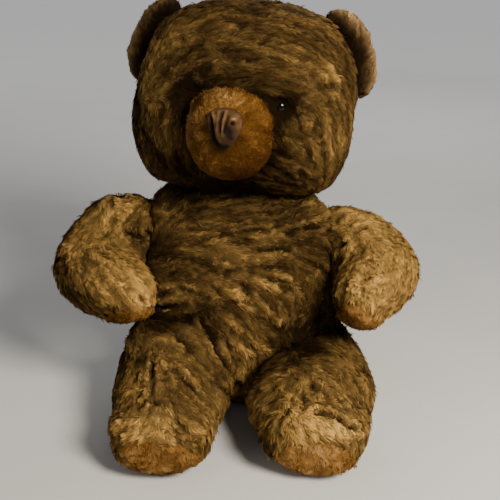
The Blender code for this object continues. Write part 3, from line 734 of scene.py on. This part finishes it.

# Local spots: place and reach in mm, then what they add to the tone in hundredths, to the form in tenths of a mm, and
# to the length, as a share, and the lift in hundredths. Their tones are partly the pile's own colour, and partly
# painted shade round the eyes, under the chin, in the armpits and beside the arms, and painted light on the feet and
# hands.
Spot = namedtuple("Spot", "x y z reach tone rise longer lift", defaults=(0, 0, 0))
SPOTS = {
    "head": (
        (-29,-8,206, 9,-40,-10,-10), (-58,14,188, 26,0,28), (-50,14,160, 14,0,15), (-50,12,150, 13,0,40),
        (-38,20,250, 16,0,35), (29,-13,203, 6.5,-30,-10,-10), (45,-14,190, 14,-2,5,10,15), (56,-2,224, 12,10),
        (-52,0,190, 18,-7), (-35,-8,180, 12,10), (-1,12,143, 16,-25), (9,-12,206, 5,-20,-8),
        (-31,-9,213, 5,-10,15,70,15), (30,-14,210, 5,0,15,60,15),
    ),
    "torso": (
        (-45,12,102, 13,-10), (15,-6,76, 16,8,0,10,3), (6,-16,45, 12,12,0,20,8), (54,-4,57, 16,-15),
        (1,16,128, 11,6), (12,12,120, 10,-13), (-18,14,127, 8,14), (-40,2,88, 7,10), (-52,18,114, 18,0,70),
        (-54,14,90, 18,-10,80), (-60,6,82, 13,-10,80), (-60,8,93, 10,-10,50), (-54,4,74, 10,-10,60),
        (60,18,114, 18,0,80), (60,14,88, 20,-15,90), (62,8,56, 14,-30,110), (54,26,128, 13,0,90),
        (-50,26,127, 12,0,80), (-46,32,138, 13,-25,120,10,5),
    ),
    "arm_right": (
        (-68,14,98, 12,-10,40), (-64,6,88, 11,-10,50), (-60,-39,97, 14,12), (-106,-22,99, 14,-18),
        (-94,-33,88, 11,-14), (-62,12,108, 10,-20), (-62,30,130, 11,0,50,10,10), (-78,30,131, 11,0,45,0,2),
        (-91,28,128, 9,0,35,-5), (-55,22,107, 9,-20), (-61,16,116, 12,-8,65,10,6), (-62,6,106, 11,-8,55,10,6),
        (-60,-4,98, 10,0,25),
    ),
    "arm_left": (
        (88,-36,100, 18,6), (116,0,104, 26,0,30), (66,28,126, 12,0,50,10,10), (64,11,90, 10,-25),
        (68,12,95, 12,0,40), (64,4,76, 11,-20,40),
    ),
    "leg_right": (
        (-22,-35,59, 14,-10), (-66,-18,60, 13,0,60), (-58,-10,66, 10,0,40), (-47,-102,36, 14,34,20,-15),
        (-20,-97,38, 9,8,10), (-66,-94,37, 9,18,5), (-9,-52,28, 20,0,45), (-19,-90,30, 16,0,25),
        (-8,-45,43, 9,-20), (-25,-100,33, 8,-6),
    ),
    "leg_left": (
        (44,-100,40, 14,44,20,-15), (13,-52,27, 20,0,70), (22,-88,28, 16,0,30), (62,-99,36, 9,42,25,-15),
        (29,-89,44, 9,16), (58,-88,49, 10,-6,20), (40,-30,53, 9,-15), (65,-100,33, 7,-10), (77,-67,39, 10,-6),
        (66,4,48, 13,-20,60),
    ),
}


# Building ---

# Streaks along the pile: width, half their length, share of the tone, relief and seed. Their tone follows their
# relief: painted light on the crests and painted shade in the troughs, over the pile's own streaky tone.
STREAKS = ((1.9 * MM, 5 * MM, 0.19, 0.5 * MM, 80), (4.4 * MM, 9 * MM, 0.15, 0.9 * MM, 100))
STREAK_SHARES = {"head": 1.0, "torso": 1.0, "muzzle": 0.6}
OTHER_SHARE = 0.85
STREAK_LIFT = 0.03
PATCHY = 0.05
UNEVEN = 0.4 * MM
FULL_RELIEF = 6.5 * MM  # pile this long or more has all of the relief
WANDER = {"head": 0.22, "torso": 0.26}  # how far the pile strays from where it is combed
OTHER_WANDER = 0.24
# Painted shade, with some dirt, along the seams where covers meet:
JOIN_DIRT_AND_PAINTED_SHADE = 0.1
JOIN_REACH = 6 * MM
JOIN_SHARE = 0.55  # of a neighbour's tone
JOIN_BLEND = 15 * MM  # over this the tones of two covers meet
JOIN_SHAG = 5 * MM  # and within this the pile stands longer, over the seam
SHAG_LONGER = 0.35
SHAG_LIFT = 0.1
FACE_SHADE = (0.28, 3.6 * MM)  # round the muzzle and the eyes: how much, and its reach
FACE_SINK = (1.6 * MM, 4 * MM)
TONE_KNEE = 0.62  # above this, tones press together
TONE_ROOM = 0.36
LOCK_WIDER = 1.2
LOCK_TONE = 0.8
LIP_PLACE = 2.2  # beside a crease or a lock, in its widths
LIP_WIDTH = 1.2
LIP_RISE = 0.45
LIP_TONE = 0.3
CREASE_SHORTER = (0.65, 2.6)  # how much, and its reach in widths
MARK_COMB = (1.6, 2)  # how much the pile follows a mark's line, and its reach in widths
EAR_RIM_TONE = {-1: 0.14, 1: 0.34}
EAR_HOLLOW = 2.5 * MM
EAR_HOLLOW_EDGE = 0.72  # as a share of the way from its middle to its rim
EAR_HOLLOW_SLOPE = 0.3
EAR_RIM_WIDTH = 0.16
# Painted shade in an ear's hollow and at its base, where it meets the head:
EAR_HOLLOW_PAINTED_SHADE = 0.16
EAR_BASE = 9 * MM
EAR_BASE_PAINTED_SHADE = 0.36
# Painted light on the muzzle's top, and painted shade on its left and along its seam:
MUZZLE_TOP_PAINTED_LIGHT = 0.1  # how much lighter it is above its middle
MUZZLE_LEFT_PAINTED_SHADE = 0.15  # and how much darker on its left
MUZZLE_SEAM_PAINTED_SHADE = 0.1  # and along its seam
SPARSEST = 0.45
DENSE_FROM = 70 * MM  # forward of here the pile grows denser, over this depth
DENSE_OVER = 80 * MM


class Cover:
    """One cover's cloth, and everything that its pile follows, at each of its points."""

    def __init__(self, name, skin, trees, seed):
        self.name = name
        self.part = PARTS[name]
        self.skin = skin
        surface = Surface(skin)
        self.points, self.normals = surface.points, surface.normals
        count = len(self.points)
        self.clear = np.full(count, FAR)
        self.out = np.full(count, -self.part.depth)
        self.tone = np.full(count, self.part.tone)
        shag = np.zeros(count)
        for other in self.part.near:
            far = distances(self.points, trees[other])
            self.clear = np.minimum(self.clear, far)
            self.out *= 1 - bell(far, SEAT_REACH)
            # Painted shade, with some dirt, along the seam with each neighbour.
            self.tone -= JOIN_DIRT_AND_PAINTED_SHADE * bell(far, JOIN_REACH)
            self.tone += JOIN_SHARE * (PARTS[other].tone - self.part.tone) * bell(far, JOIN_BLEND)
            shag = np.maximum(shag, bell(far, JOIN_SHAG))
        for other in self.part.under:
            far = distances(self.points, tree_of(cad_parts[other]))
            self.clear = np.minimum(self.clear, far)
            if name == "head":
                self.tone -= FACE_SHADE[0] * bell(far, FACE_SHADE[1])
                self.out -= FACE_SINK[0] * bell(far, FACE_SINK[1])
        self.longer = 1 + SHAG_LONGER * shag
        self.lift = SHAG_LIFT * shag
        self.comb(seed)
        self.wave(seed)
        self.mark()
        self.spot()
        self.shape()
        self.tone = np.minimum(self.tone, TONE_KNEE + TONE_ROOM * np.tanh((self.tone - TONE_KNEE) / TONE_ROOM))
        self.moved = self.points + self.normals * self.out[:, None]
        for node in nodes_of(name):
            if node.endswith("_stuffing"):
                self.moved = clear_of(self.moved, tree_of(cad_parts[node]), OVER_STUFFING)
        move_points(skin, above_floor(self.moved))

    def comb(self, seed):
        if self.name == "muzzle":
            away = unit(self.points - np.array(head_frame() @ NOSE_PLACE))
            self.flow = level(away + 0.5 * ripples(self.points, 5 * MM, seed), self.normals)
        else:
            strokes, wander = STROKES.get(self.name, ()), WANDER.get(self.name, OTHER_WANDER)
            self.flow = combed(self.points, self.normals, strokes, self.part.fall, wander, seed * 10)

    def wave(self, seed):
        scale = min(1, self.part.style.length / FULL_RELIEF)
        stronger = STREAK_SHARES.get(self.name, OTHER_SHARE)
        for width, half, amount, relief, more in STREAKS:
            wave = streaks(self.points, self.flow, width, half, seed + more)
            # Painted light on the crests and painted shade in the troughs, as the tone follows the relief.
            self.tone += stronger * amount * wave
            self.lift += STREAK_LIFT * wave
            self.out += relief * scale * wave
        self.tone += PATCHY * ripple(self.points, 26 * MM, seed + 40)
        self.out += UNEVEN * ripple(self.points, 24 * MM, seed)

    def mark(self):
        for width, rise, tone, *places in MARKS:
            line = np.cumsum(np.reshape(places, (-1, 3)), axis=0) * MM
            width, rise, tone = width / 10 * MM, rise / 10 * MM, tone / 100
            crease = rise < 0
            inside = (self.points > line.min(0) - 4 * width) & (self.points < line.max(0) + 4 * width)
            near = np.flatnonzero(inside.all(1))
            if not len(near):
                continue
            apart = from_line(self.points[near], line)
            deep = bell(apart, width * (1 if crease else LOCK_WIDER))
            lip = bell(apart - LIP_PLACE * width, LIP_WIDTH * width)
            self.out[near] += rise * (deep - LIP_RISE * lip)
            # Painted shade down a crease and painted light along a lock, and the opposite on the lips beside them.
            self.tone[near] += tone * (deep - LIP_TONE * lip) * (1 if crease else LOCK_TONE)
            if crease:
                self.longer[near] *= 1 - CREASE_SHORTER[0] * bell(apart, CREASE_SHORTER[1] * width)
            way = line[-1] - line[0]
            way = np.sign(self.flow[near] @ way)[:, None] * way / np.linalg.norm(way)
            wide = bell(apart, MARK_COMB[1] * width)
            self.flow[near] = level(self.flow[near] + MARK_COMB[0] * wide[:, None] * way, self.normals[near])
        # Painted shade and painted light, with some dirt, on every cover near.
        for *place, reach, tone in PAINTED_SHADE_LIGHT_AND_DIRT:
            self.tone += tone / 100 * around(self.points, place, reach * MM)

    def spot(self):
        for row in SPOTS.get(self.name, ()):
            spot = Spot(*row)
            near = around(self.points, row[:3], spot.reach * MM)
            # The tone carries painted shade and painted light as well as the pile's own colour.
            self.tone += near * (spot.tone / 100)
            self.longer += near * (spot.longer / 100)
            self.lift += near * (spot.lift / 100)
            self.out += near * (spot.rise / 10) * MM

    def shape(self):
        """The ears' hollow and rim, and the muzzle's lighter top."""
        if self.name.startswith("ear"):
            side = -1 if self.name.endswith("right") else 1
            local = in_ear(self.points, side)
            across = local[:, 0] / ear_width(local, side) / EAR_RADII[0]
            spread = np.hypot(across, np.maximum(local[:, 2], 0) / EAR_RADII[1])
            front = np.clip(-self.normals @ np.array(ear_axis(side)), 0, 1)
            hollow = np.clip((EAR_HOLLOW_EDGE - spread) / EAR_HOLLOW_SLOPE, 0, 1) * front
            self.out -= EAR_HOLLOW * hollow
            rim, base = bell(spread - 1, EAR_RIM_WIDTH), bell(self.clear, EAR_BASE)
            # Painted shade in the hollow and at the base where the ear meets the head.
            self.tone += EAR_RIM_TONE[side] * rim - EAR_HOLLOW_PAINTED_SHADE * hollow - EAR_BASE_PAINTED_SHADE * base
        if self.name == "muzzle":
            local = (self.points - np.array(HEAD_PLACE)) @ np.array(HEAD_TURN.to_matrix())
            # Painted light on the muzzle's top, painted shade on its left and along its seam.
            self.tone += MUZZLE_TOP_PAINTED_LIGHT * np.tanh((local[:, 2] + 4 * MM) / (11 * MM)) - 0.04
            self.tone -= MUZZLE_LEFT_PAINTED_SHADE * np.tanh(local[:, 0] / (14 * MM))
            self.tone += 0.02 * ripple(self.points, 2.6 * MM, 77) + 0.05 * ripple(self.points, 7 * MM, 78)
            self.tone -= MUZZLE_SEAM_PAINTED_SHADE * bell(self.clear, 3 * MM)

    def show(self, shown):
        """Gives the coarser skin that is shown the finer one's shape and tone, a little below the fibres' roots."""
        same = nearest_of(read(shown.data.vertices, "co", 3), self.points)
        normals = Surface(self.skin).normals
        move_points(shown, above_floor(self.moved[same] - normals[same] * SHOWN_UNDER))
        # Painted shade: the shown cloth's tone is set darker than its pile's.
        set_tone(shown, self.tone[same] - SHOWN_PAINTED_SHADE)

    def sew_pad_edge(self, pad):
        """No pile grows under a pad, and it stands up round its edge."""
        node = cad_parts[pad]
        points = read(self.skin.data.vertices, "co", 3).astype(float)
        far = distances(points, tree_of(node))
        edge = bell(far, PAD_EDGE)
        ragged = PAD_INSIDE + PAD_RAGGED * ripple(points, 5 * MM, 31)
        self.clear = np.where((far < PAD_NEAR) & (rim_distance(points, node) > ragged), -1.0, self.clear)
        self.longer += PAD_EDGE_LONGER * edge
        self.lift += PAD_EDGE_LIFT * edge

    def grow(self, random, seed, material, slot):
        surface = Surface(self.skin)
        closer = SPARSEST + np.clip((DENSE_FROM - surface.points[:, 1]) / DENSE_OVER, 0, 1)
        surface.scatter(self.part.strands, random, closer * (self.clear > -0.2 * MM))
        roots = surface.at(surface.points)
        normals = unit(surface.at(surface.normals))
        flow = level(surface.at(self.flow), normals)
        values = [surface.at(field) for field in (self.tone, self.longer, self.lift)]
        fur = grow_pile(f"{self.name}_fur", roots, normals, flow, *values, self.part.style, seed)
        dress(fur, material, slot)


def clear_of(points, tree, gap):
    """Points, with those closer than a gap to a tree's surface brought out to it."""
    kept = points.copy()
    for index, point in enumerate(points.tolist()):
        place, normal, _, distance = tree.find_nearest(point)
        out = (Vector(point) - place).dot(normal)
        if math.copysign(distance, out) < gap:
            kept[index] = place + normal * gap
    return kept


STITCH_HEIGHTS = range(40, 92, 5)  # mm
STITCH_SEAM = (4, 110)  # mm, across and behind
STITCH_LEANS = (0.6, 2.0)  # mm, at its ends
STITCH_STRAYS = (-0.7, 0.7)  # mm
STITCH_RINGS = 9
STITCH_SIDES = 6
STITCH_RADIUS = 0.45 * MM
STITCH_HALF = 2.6  # mm, half its length
STITCH_RISE = 1.7  # mm, from its ends to its middle
STITCH_SUNK = 0.9  # mm, its ends


def make_stitches(tree):
    """The hand-sewn threads that close the back, each a bent tube with its ends in the cloth."""
    form = bmesh.new()
    random = np.random.default_rng(90)
    angles = [2 * math.pi * step / STITCH_SIDES for step in range(STITCH_SIDES)]
    for height in STITCH_HEIGHTS:
        lean, low = random.uniform(*STITCH_LEANS), random.uniform(*STITCH_STRAYS)
        middle, normal, _, _ = tree.find_nearest(Vector((*STITCH_SEAM, height + low)) * MM)
        rings = []
        for along in np.linspace(-1, 1, STITCH_RINGS):
            out = STITCH_RISE * (1 - along * along) - STITCH_SUNK
            centre = middle + Vector((STITCH_HALF * along, 0, lean * along)) * MM + normal * out * MM
            slope = (Vector((STITCH_HALF, 0, lean)) - normal * 2 * STITCH_RISE * along).normalized()
            across = normal.cross(slope).normalized()
            up = slope.cross(across)
            ring = [centre + (across * math.cos(a) + up * math.sin(a)) * STITCH_RADIUS for a in angles]
            rings.append([form.verts.new(place) for place in ring])
        for a, b in zip(rings, rings[1:]):
            for step in range(STITCH_SIDES):
                after = (step + 1) % STITCH_SIDES
                form.faces.new((a[step], a[after], b[after], b[step]))
        form.faces.new(rings[0][::-1])
        form.faces.new(rings[-1])
    bmesh.ops.recalc_face_normals(form, faces=form.faces)
    stitches = new_object("back_stitches", form)
    smooth(stitches)
    dark, light = (0.3, (0.05, 0.028, 0.012)), (0.7, (0.16, 0.095, 0.045))
    thread = noisy_material("closing_thread", (0.8, 0.1), (2500, 2, 0.5), dark, light, (0.5, 0.1 * MM))
    dress(stitches, thread, "brown_plush")


def ear_matrix(side):
    turn = Euler((0, side * (math.pi / 2 - EAR_LEAN), side * EAR_TURN)).to_matrix().to_4x4()
    place = Vector((side * EAR_PLACE[0], EAR_PLACE[1], EAR_PLACE[2])) * MM
    return head_frame() @ Matrix.Translation(place) @ turn


def ear_axis(side):
    return ear_matrix(side).to_3x3() @ Vector((0, 1, 0))


def in_ear(points, side):
    back = np.array(ear_matrix(side).inverted())
    return (points @ back[:3, :3].T + back[:3, 3]) / MM


def ear_width(local, side):
    return np.where(side * local[:, 0] > 0, EAR_LOWER[side], EAR_WIDER[side])


def widen_ear(skin, side, head):
    """The cloth of an ear is wider than its solid, along the head, and its base reaches into the head's pile."""
    local = in_ear(Surface(skin).points, side)
    local[:, 0] *= ear_width(local, side)
    matrix = np.array(ear_matrix(side))
    points = (local * MM) @ matrix[:3, :3].T + matrix[:3, 3]
    for index, point in enumerate(points.tolist()):
        _, normal, _, distance = head.find_nearest(point)
        points[index] -= np.array(normal) * max(EAR_REACH - distance, 0) * EAR_PULL
    move_points(skin, points)


PAD_VOXEL = 2.6 * MM
PAD_SUNK = 0.9 * MM  # all of it, and once more at its edge
PAD_UNEVEN = 0.5 * MM
PAD_EDGE_TONE = 0.15


def make_pad(name, tree, velour, tan, seed):
    """A sole or a paw's pad: its own piece of velour, sunk at its edge where it is sewn in."""
    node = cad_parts[name]
    skin = hull_of(f"{name}_skin", (name,), PAD_VOXEL, 3)
    refine(skin, 1)
    surface = Surface(skin)
    rim = rim_distance(surface.points, node)
    out = -PAD_SUNK + PAD_UNEVEN * ripple(surface.points, 9 * MM, seed) - PAD_SUNK * bell(rim, PAD_EDGE)
    move_points(skin, above_floor(surface.points + surface.normals * out[:, None]))
    surface = Surface(skin)
    points = surface.points
    tone = PAD_TONES[name] + 0.08 * ripple(points, 12 * MM, seed) + 0.1 * ripple(points, 4 * MM, seed + 1)
    tone -= PAD_EDGE_TONE * bell(rim, 3 * MM)
    set_tone(skin, tone)
    dress(skin, velour, "tan_velour", name)
    facing = (surface.normals @ np.array(pad_axis(node, tree)) > 0.2).astype(float)
    surface.scatter(PAD_STRANDS, np.random.default_rng(seed), facing)
    normals = unit(surface.at(surface.normals))
    stray = np.random.default_rng(seed + 1).normal(size=(PAD_STRANDS, 3))
    flow = level(np.tile((0.2, 0.1, -1.0), (PAD_STRANDS, 1)) + 0.5 * stray, normals)
    roots, tone, same = surface.at(points), surface.at(tone), np.zeros(PAD_STRANDS)
    fur = grow_pile(f"{name}_pile", roots, normals, flow, tone, same + 1, same, PAD_PILE, seed)
    dress(fur, tan, "tan_velour")


def pad_axis(node, tree):
    """Which way a pad faces: out of its limb's nearest surface."""
    middle = Vector(read(node.data.vertices, "co", 3).mean(0))
    return tree.find_nearest(middle)[1]


def rim_distance(points, node):
    """How far each point is from a pad's rim."""
    corners = read(node.data.vertices, "co", 3).astype(float)
    middle = corners.mean(0)
    _, _, ways = np.linalg.svd(corners - middle, full_matrices=False)
    radius = np.abs((corners - middle) @ ways[:2].T).max(0)
    spread = np.linalg.norm(((points - middle) @ ways[:2].T) / radius, axis=1)
    return (1 - spread) * radius.mean()


# Face ---


def make_eye(side, name, material):
    """A glass bead, domed in front and flat behind."""
    form = bmesh.new()
    bmesh.ops.create_uvsphere(form, u_segments=40, v_segments=24, radius=1)
    for vertex in form.verts:
        x, y, height = vertex.co
        vertex.co = (x * EYE_RADIUS, y * EYE_RADIUS, height * (EYE_DEPTH if height > 0 else EYE_BACK * EYE_DEPTH))
    bead = new_object(name + "_bead", form)
    outward = Vector((side * EYE_OUTWARD, -1, EYE_UPWARD))
    place = EYE_PLACE + Vector((side * EYE_SPREAD, 0, 0)) - outward.normalized() * EYE_SUNK[side]
    turn = outward.to_track_quat("Z", "Y").to_matrix().to_4x4()
    bead.data.transform(head_frame() @ Matrix.Translation(place) @ turn)
    smooth(bead)
    dress(bead, material, "black_button", name)


def eye_material():
    clean, dusty = (0.45, (0.001, 0.0007, 0.0006)), (0.75, (0.006, 0.004, 0.002))
    return noisy_material("black_glass", (0.06, 0.22), (1400, 3, 0.6), clean, dusty)


# Lines on the nose, in mm across and up: its places, half width, how far out, and what they add to the tone, which
# paints shade in the slit, folds and nostril and below its middle, and light on its ridges, flap, lip and rim.
# Not all by hand: a program printed many of the places, from ones picked on the photo.
NOSE_LINES = (
    (((-7.8, 5.9), (-7.0, 1.0)), 0.7, -1.8, -0.8),
    (((-7.0, 1.0), (-5.3, -5.4), (-3.3, -9.1)), 1.25, -2.4, -0.8),
    (((-9.7, 4.7), (-8.9, -0.2)), 1.0, 0.6, 0.1),
    (((-6.9, 8.3), (-6.3, 5.8)), 0.9, 0.6, 0.35),
    (((-5.4, 6.5), (-5.0, 0.0), (-2.4, -7.5)), 0.8, 0.5, 0.14),
    (((-3.4, 8.5), (-3.2, -0.7), (-0.9, -7.7)), 0.9, 0.6, 0.15),
    (((-1.2, 8.8), (-2.0, 3.2), (-1.7, -2.0)), 0.7, -0.8, -0.35),
    (((0.6, 9.5), (-0.3, 2.8), (0.0, -4.4)), 1.0, 0.7, 0.17),
    (((2.3, 6.5), (1.3, 1.0), (0.9, -2.1)), 0.7, -0.7, -0.3),
    (((6.6, 6.8), (7.6, 1.5)), 2.4, 0.5, 0.1),
    (((5.1, 3.3), (5.2, 3.2)), 0.8, -2.0, -0.9),
    (((4.5, 5.3), (5.8, 5.4)), 0.7, 0.4, 0.3),
    (((2.6, 0.0), (4.5, -4.5)), 1.9, -0.8, -0.3),
    (((9.3, 5.4), (9.5, -0.1), (7.4, -5.8)), 0.7, 0.2, 0.25),
    (((-2.9, -9.6), (0.6, -11.2), (3.9, -10.6)), 1.5, -0.3, -0.4),
)
NOSE_TONE = 0.24
NOSE_TOP_TONE = 0.15
NOSE_BACK_TONE = 0.3


def make_nose(material):
    """A moulded shield with a deep slit, folds that meet at its point, and a nostril."""
    form = bmesh.new()
    bmesh.ops.create_icosphere(form, subdivisions=6, radius=1)
    nose = new_object("nose_shield", form)
    ways = read(nose.data.vertices, "co", 3).astype(float)
    radii = np.array(NOSE_RADII)
    points = ways / ((np.abs(ways / radii) ** NOSE_SQUARENESS).sum(1) ** (1 / NOSE_SQUARENESS))[:, None]
    points[:, 0] *= NOSE_WAIST + NOSE_TAPER * points[:, 2] / radii[2]
    front = np.clip(-ways[:, 1] * 2.5, 0, 1)
    tone = NOSE_TONE + NOSE_TOP_TONE * points[:, 2] / radii[2] + 0.07 * ripple(points, 3, 5)
    out = 0.1 * ripple(points, 2.2, 6)
    # The lines' tones paint shade in the grooves and the nostril, and light on the ridges and the rim.
    for path, width, rise, shade in NOSE_LINES:
        near = bell(from_line(points[:, [0, 2]], np.array(path)), width)
        out += rise * near
        tone += shade * near
    points += unit(ways) * (out * front)[:, None]
    move_points(nose, points * MM)
    nose.data.transform(head_frame() @ Matrix.Translation(NOSE_PLACE) @ Matrix.Rotation(NOSE_TILT, 4, "X"))
    smooth(nose)
    set_tone(nose, tone * front + NOSE_BACK_TONE * (1 - front))
    dress(nose, material, "mauve_nose", "nose")


def nose_material():
    shader = Shader("nose_leather", 0.8, 0.05)
    fine = shader.noise(1600, 4, 0.6)
    shader.bump(fine, 0.35, 0.25 * MM)
    # The lighter stops carry the nose's rubbed wear and the painted light on its ridges, lip and rim.
    worn_and_painted_light, rubbed_and_painted_highlight = (0.6, (0.165, 0.088, 0.036)), (1.0, (0.55, 0.35, 0.18))
    colour = shader.ramp(shader.tone(), (0.0, (0.010, 0.005, 0.004)), (0.3, (0.050, 0.026, 0.010)), worn_and_painted_light, rubbed_and_painted_highlight)
    return shader.colour(shader.grain(0.5, colour, fine, 0.5))


# The whole bear ---


def build():
    brown = pile_material("brown_pile", BROWN_TONES)
    ear_brown = pile_material("ear_pile", EAR_TONES)
    tan = pile_material("tan_pile", TAN_TONES, 0.55)
    backing = backing_material("brown_backing", (0.012, 0.007, 0.002), (0.30, 0.18, 0.06))
    velour = backing_material("tan_backing", (0.08, 0.03, 0.005), (0.34, 0.16, 0.032))
    skins = {name: hull_of(f"{name}_form", nodes_of(name), part.voxel) for name, part in PARTS.items()}
    for side, hand in SIDES:
        widen_ear(skins[f"ear_{hand}"], side, tree_of(skins["head"]))
    trees = {name: tree_of(skin) for name, skin in skins.items()}
    starts = []
    for name, skin in skins.items():
        points = Surface(skin).points
        joins = np.min([np.abs(distances(points, trees[other])) for other in PARTS[name].near], axis=0)
        starts.append(add_cloth(skin, joins))
    run_cloth(skins.values(), starts)
    for seed, (name, skin) in enumerate(skins.items(), 1):
        shown = link(f"{name}_skin", skin.data.copy())
        refine(shown, 1)
        refine(skin, 2)
        cover = Cover(name, skin, trees, seed)
        cover.show(shown)
        is_tan = name == "muzzle"
        slot = "tan_velour" if is_tan else "brown_plush"
        dress(shown, velour if is_tan else backing, slot, nodes_of(name)[0])
        for pad, limb in PADS.items():
            if limb == name:
                cover.sew_pad_edge(pad)
        pile = tan if is_tan else ear_brown if name.startswith("ear") else brown
        cover.grow(np.random.default_rng(seed * 100), seed, pile, slot)
        if name == "torso":
            make_stitches(tree_of(skin))
        bpy.data.objects.remove(skin)
    for seed, (pad, limb) in enumerate(PADS.items(), 60):
        make_pad(pad, trees[limb], velour, tan, seed)
    glass = eye_material()
    for side, hand in SIDES:
        make_eye(side, f"eye_{hand}", glass)
    make_nose(nose_material())
    filling = stuffing_material()
    for name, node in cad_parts.items():
        if name.endswith("_stuffing"):
            node.data.materials.clear()
            node.data.materials.append(filling)


def stuffing_material():
    dark, light = (0.3, (0.42, 0.36, 0.26)), (0.7, (0.8, 0.74, 0.6))
    noise = (500, 6, 0.75, (1, 1, 0.3))
    return noisy_material("cotton_stuffing", (0.95, 0.1), noise, dark, light, (0.8, 1.0 * MM))


# Studio ---

MIDDLE_OF_BEAR = (0, 0, 0.12)
AIM = Vector((0.009, 0.035, 0.095))
DISTANCE = 0.58
PITCH = math.radians(21)


def floor_material():
    """Pale all the way out: past the lamps' reach it glows a little."""
    shader = Shader("pale_floor", 0.8, 0.2)
    grain = shader.noise(8, 4, 0.6)
    far = shader.add("ShaderNodeVectorMath", {"operation": "LENGTH"}, Vector=shader.place()).outputs["Value"]
    ease = {"interpolation_type": "SMOOTHSTEP"}
    glow = shader.add("ShaderNodeMapRange", ease, Value=far, From_Min=0.3, From_Max=1.6, To_Min=0.0, To_Max=0.36)
    shader.put(shader.surface.inputs["Emission Strength"], glow.outputs["Result"])
    return shader.colour(shader.ramp(grain, (0.3, (0.60, 0.59, 0.57)), (0.7, (0.64, 0.63, 0.61))))


def light(name, place, size, power, colour=(1, 1, 1)):
    lamp = given(bpy.data.lights.new(name, "AREA"), shape="DISK", size=size, energy=power, color=colour)
    turn = (Vector(place) - Vector(MIDDLE_OF_BEAR)).to_track_quat("Z", "Y")
    given(link(name, lamp), location=place, rotation_mode="QUATERNION", rotation_quaternion=turn)


def studio():
    form = bmesh.new()
    bmesh.ops.create_grid(form, x_segments=1, y_segments=1, size=8)
    floor = new_object("floor", form)
    floor.data.materials.append(floor_material())
    world = bpy.data.worlds.new("studio")
    world.use_nodes = True
    world.node_tree.nodes["Background"].inputs[0].default_value = (0.95, 0.96, 1.0, 1)
    world.node_tree.nodes["Background"].inputs[1].default_value = 0.17
    bpy.context.scene.world = world
    light("key", (0.40, -0.58, 0.56), 0.28, 13, (1.0, 0.93, 0.80))
    light("fill", (-0.7, -0.6, 0.5), 0.6, 1.3, (1.0, 0.96, 0.9))
    light("back", (0.2, 0.9, 0.7), 0.5, 3)


def make_camera():
    camera = given(bpy.data.cameras.new("camera"), sensor_width=36, lens=61.2, clip_start=0.01)
    place = AIM + Vector((0, -math.cos(PITCH), math.sin(PITCH))) * DISTANCE
    bpy.context.scene.camera = given(link("camera", camera), location=place, rotation_euler=(math.pi / 2 - PITCH, 0, 0))


make_camera()
studio()
build()
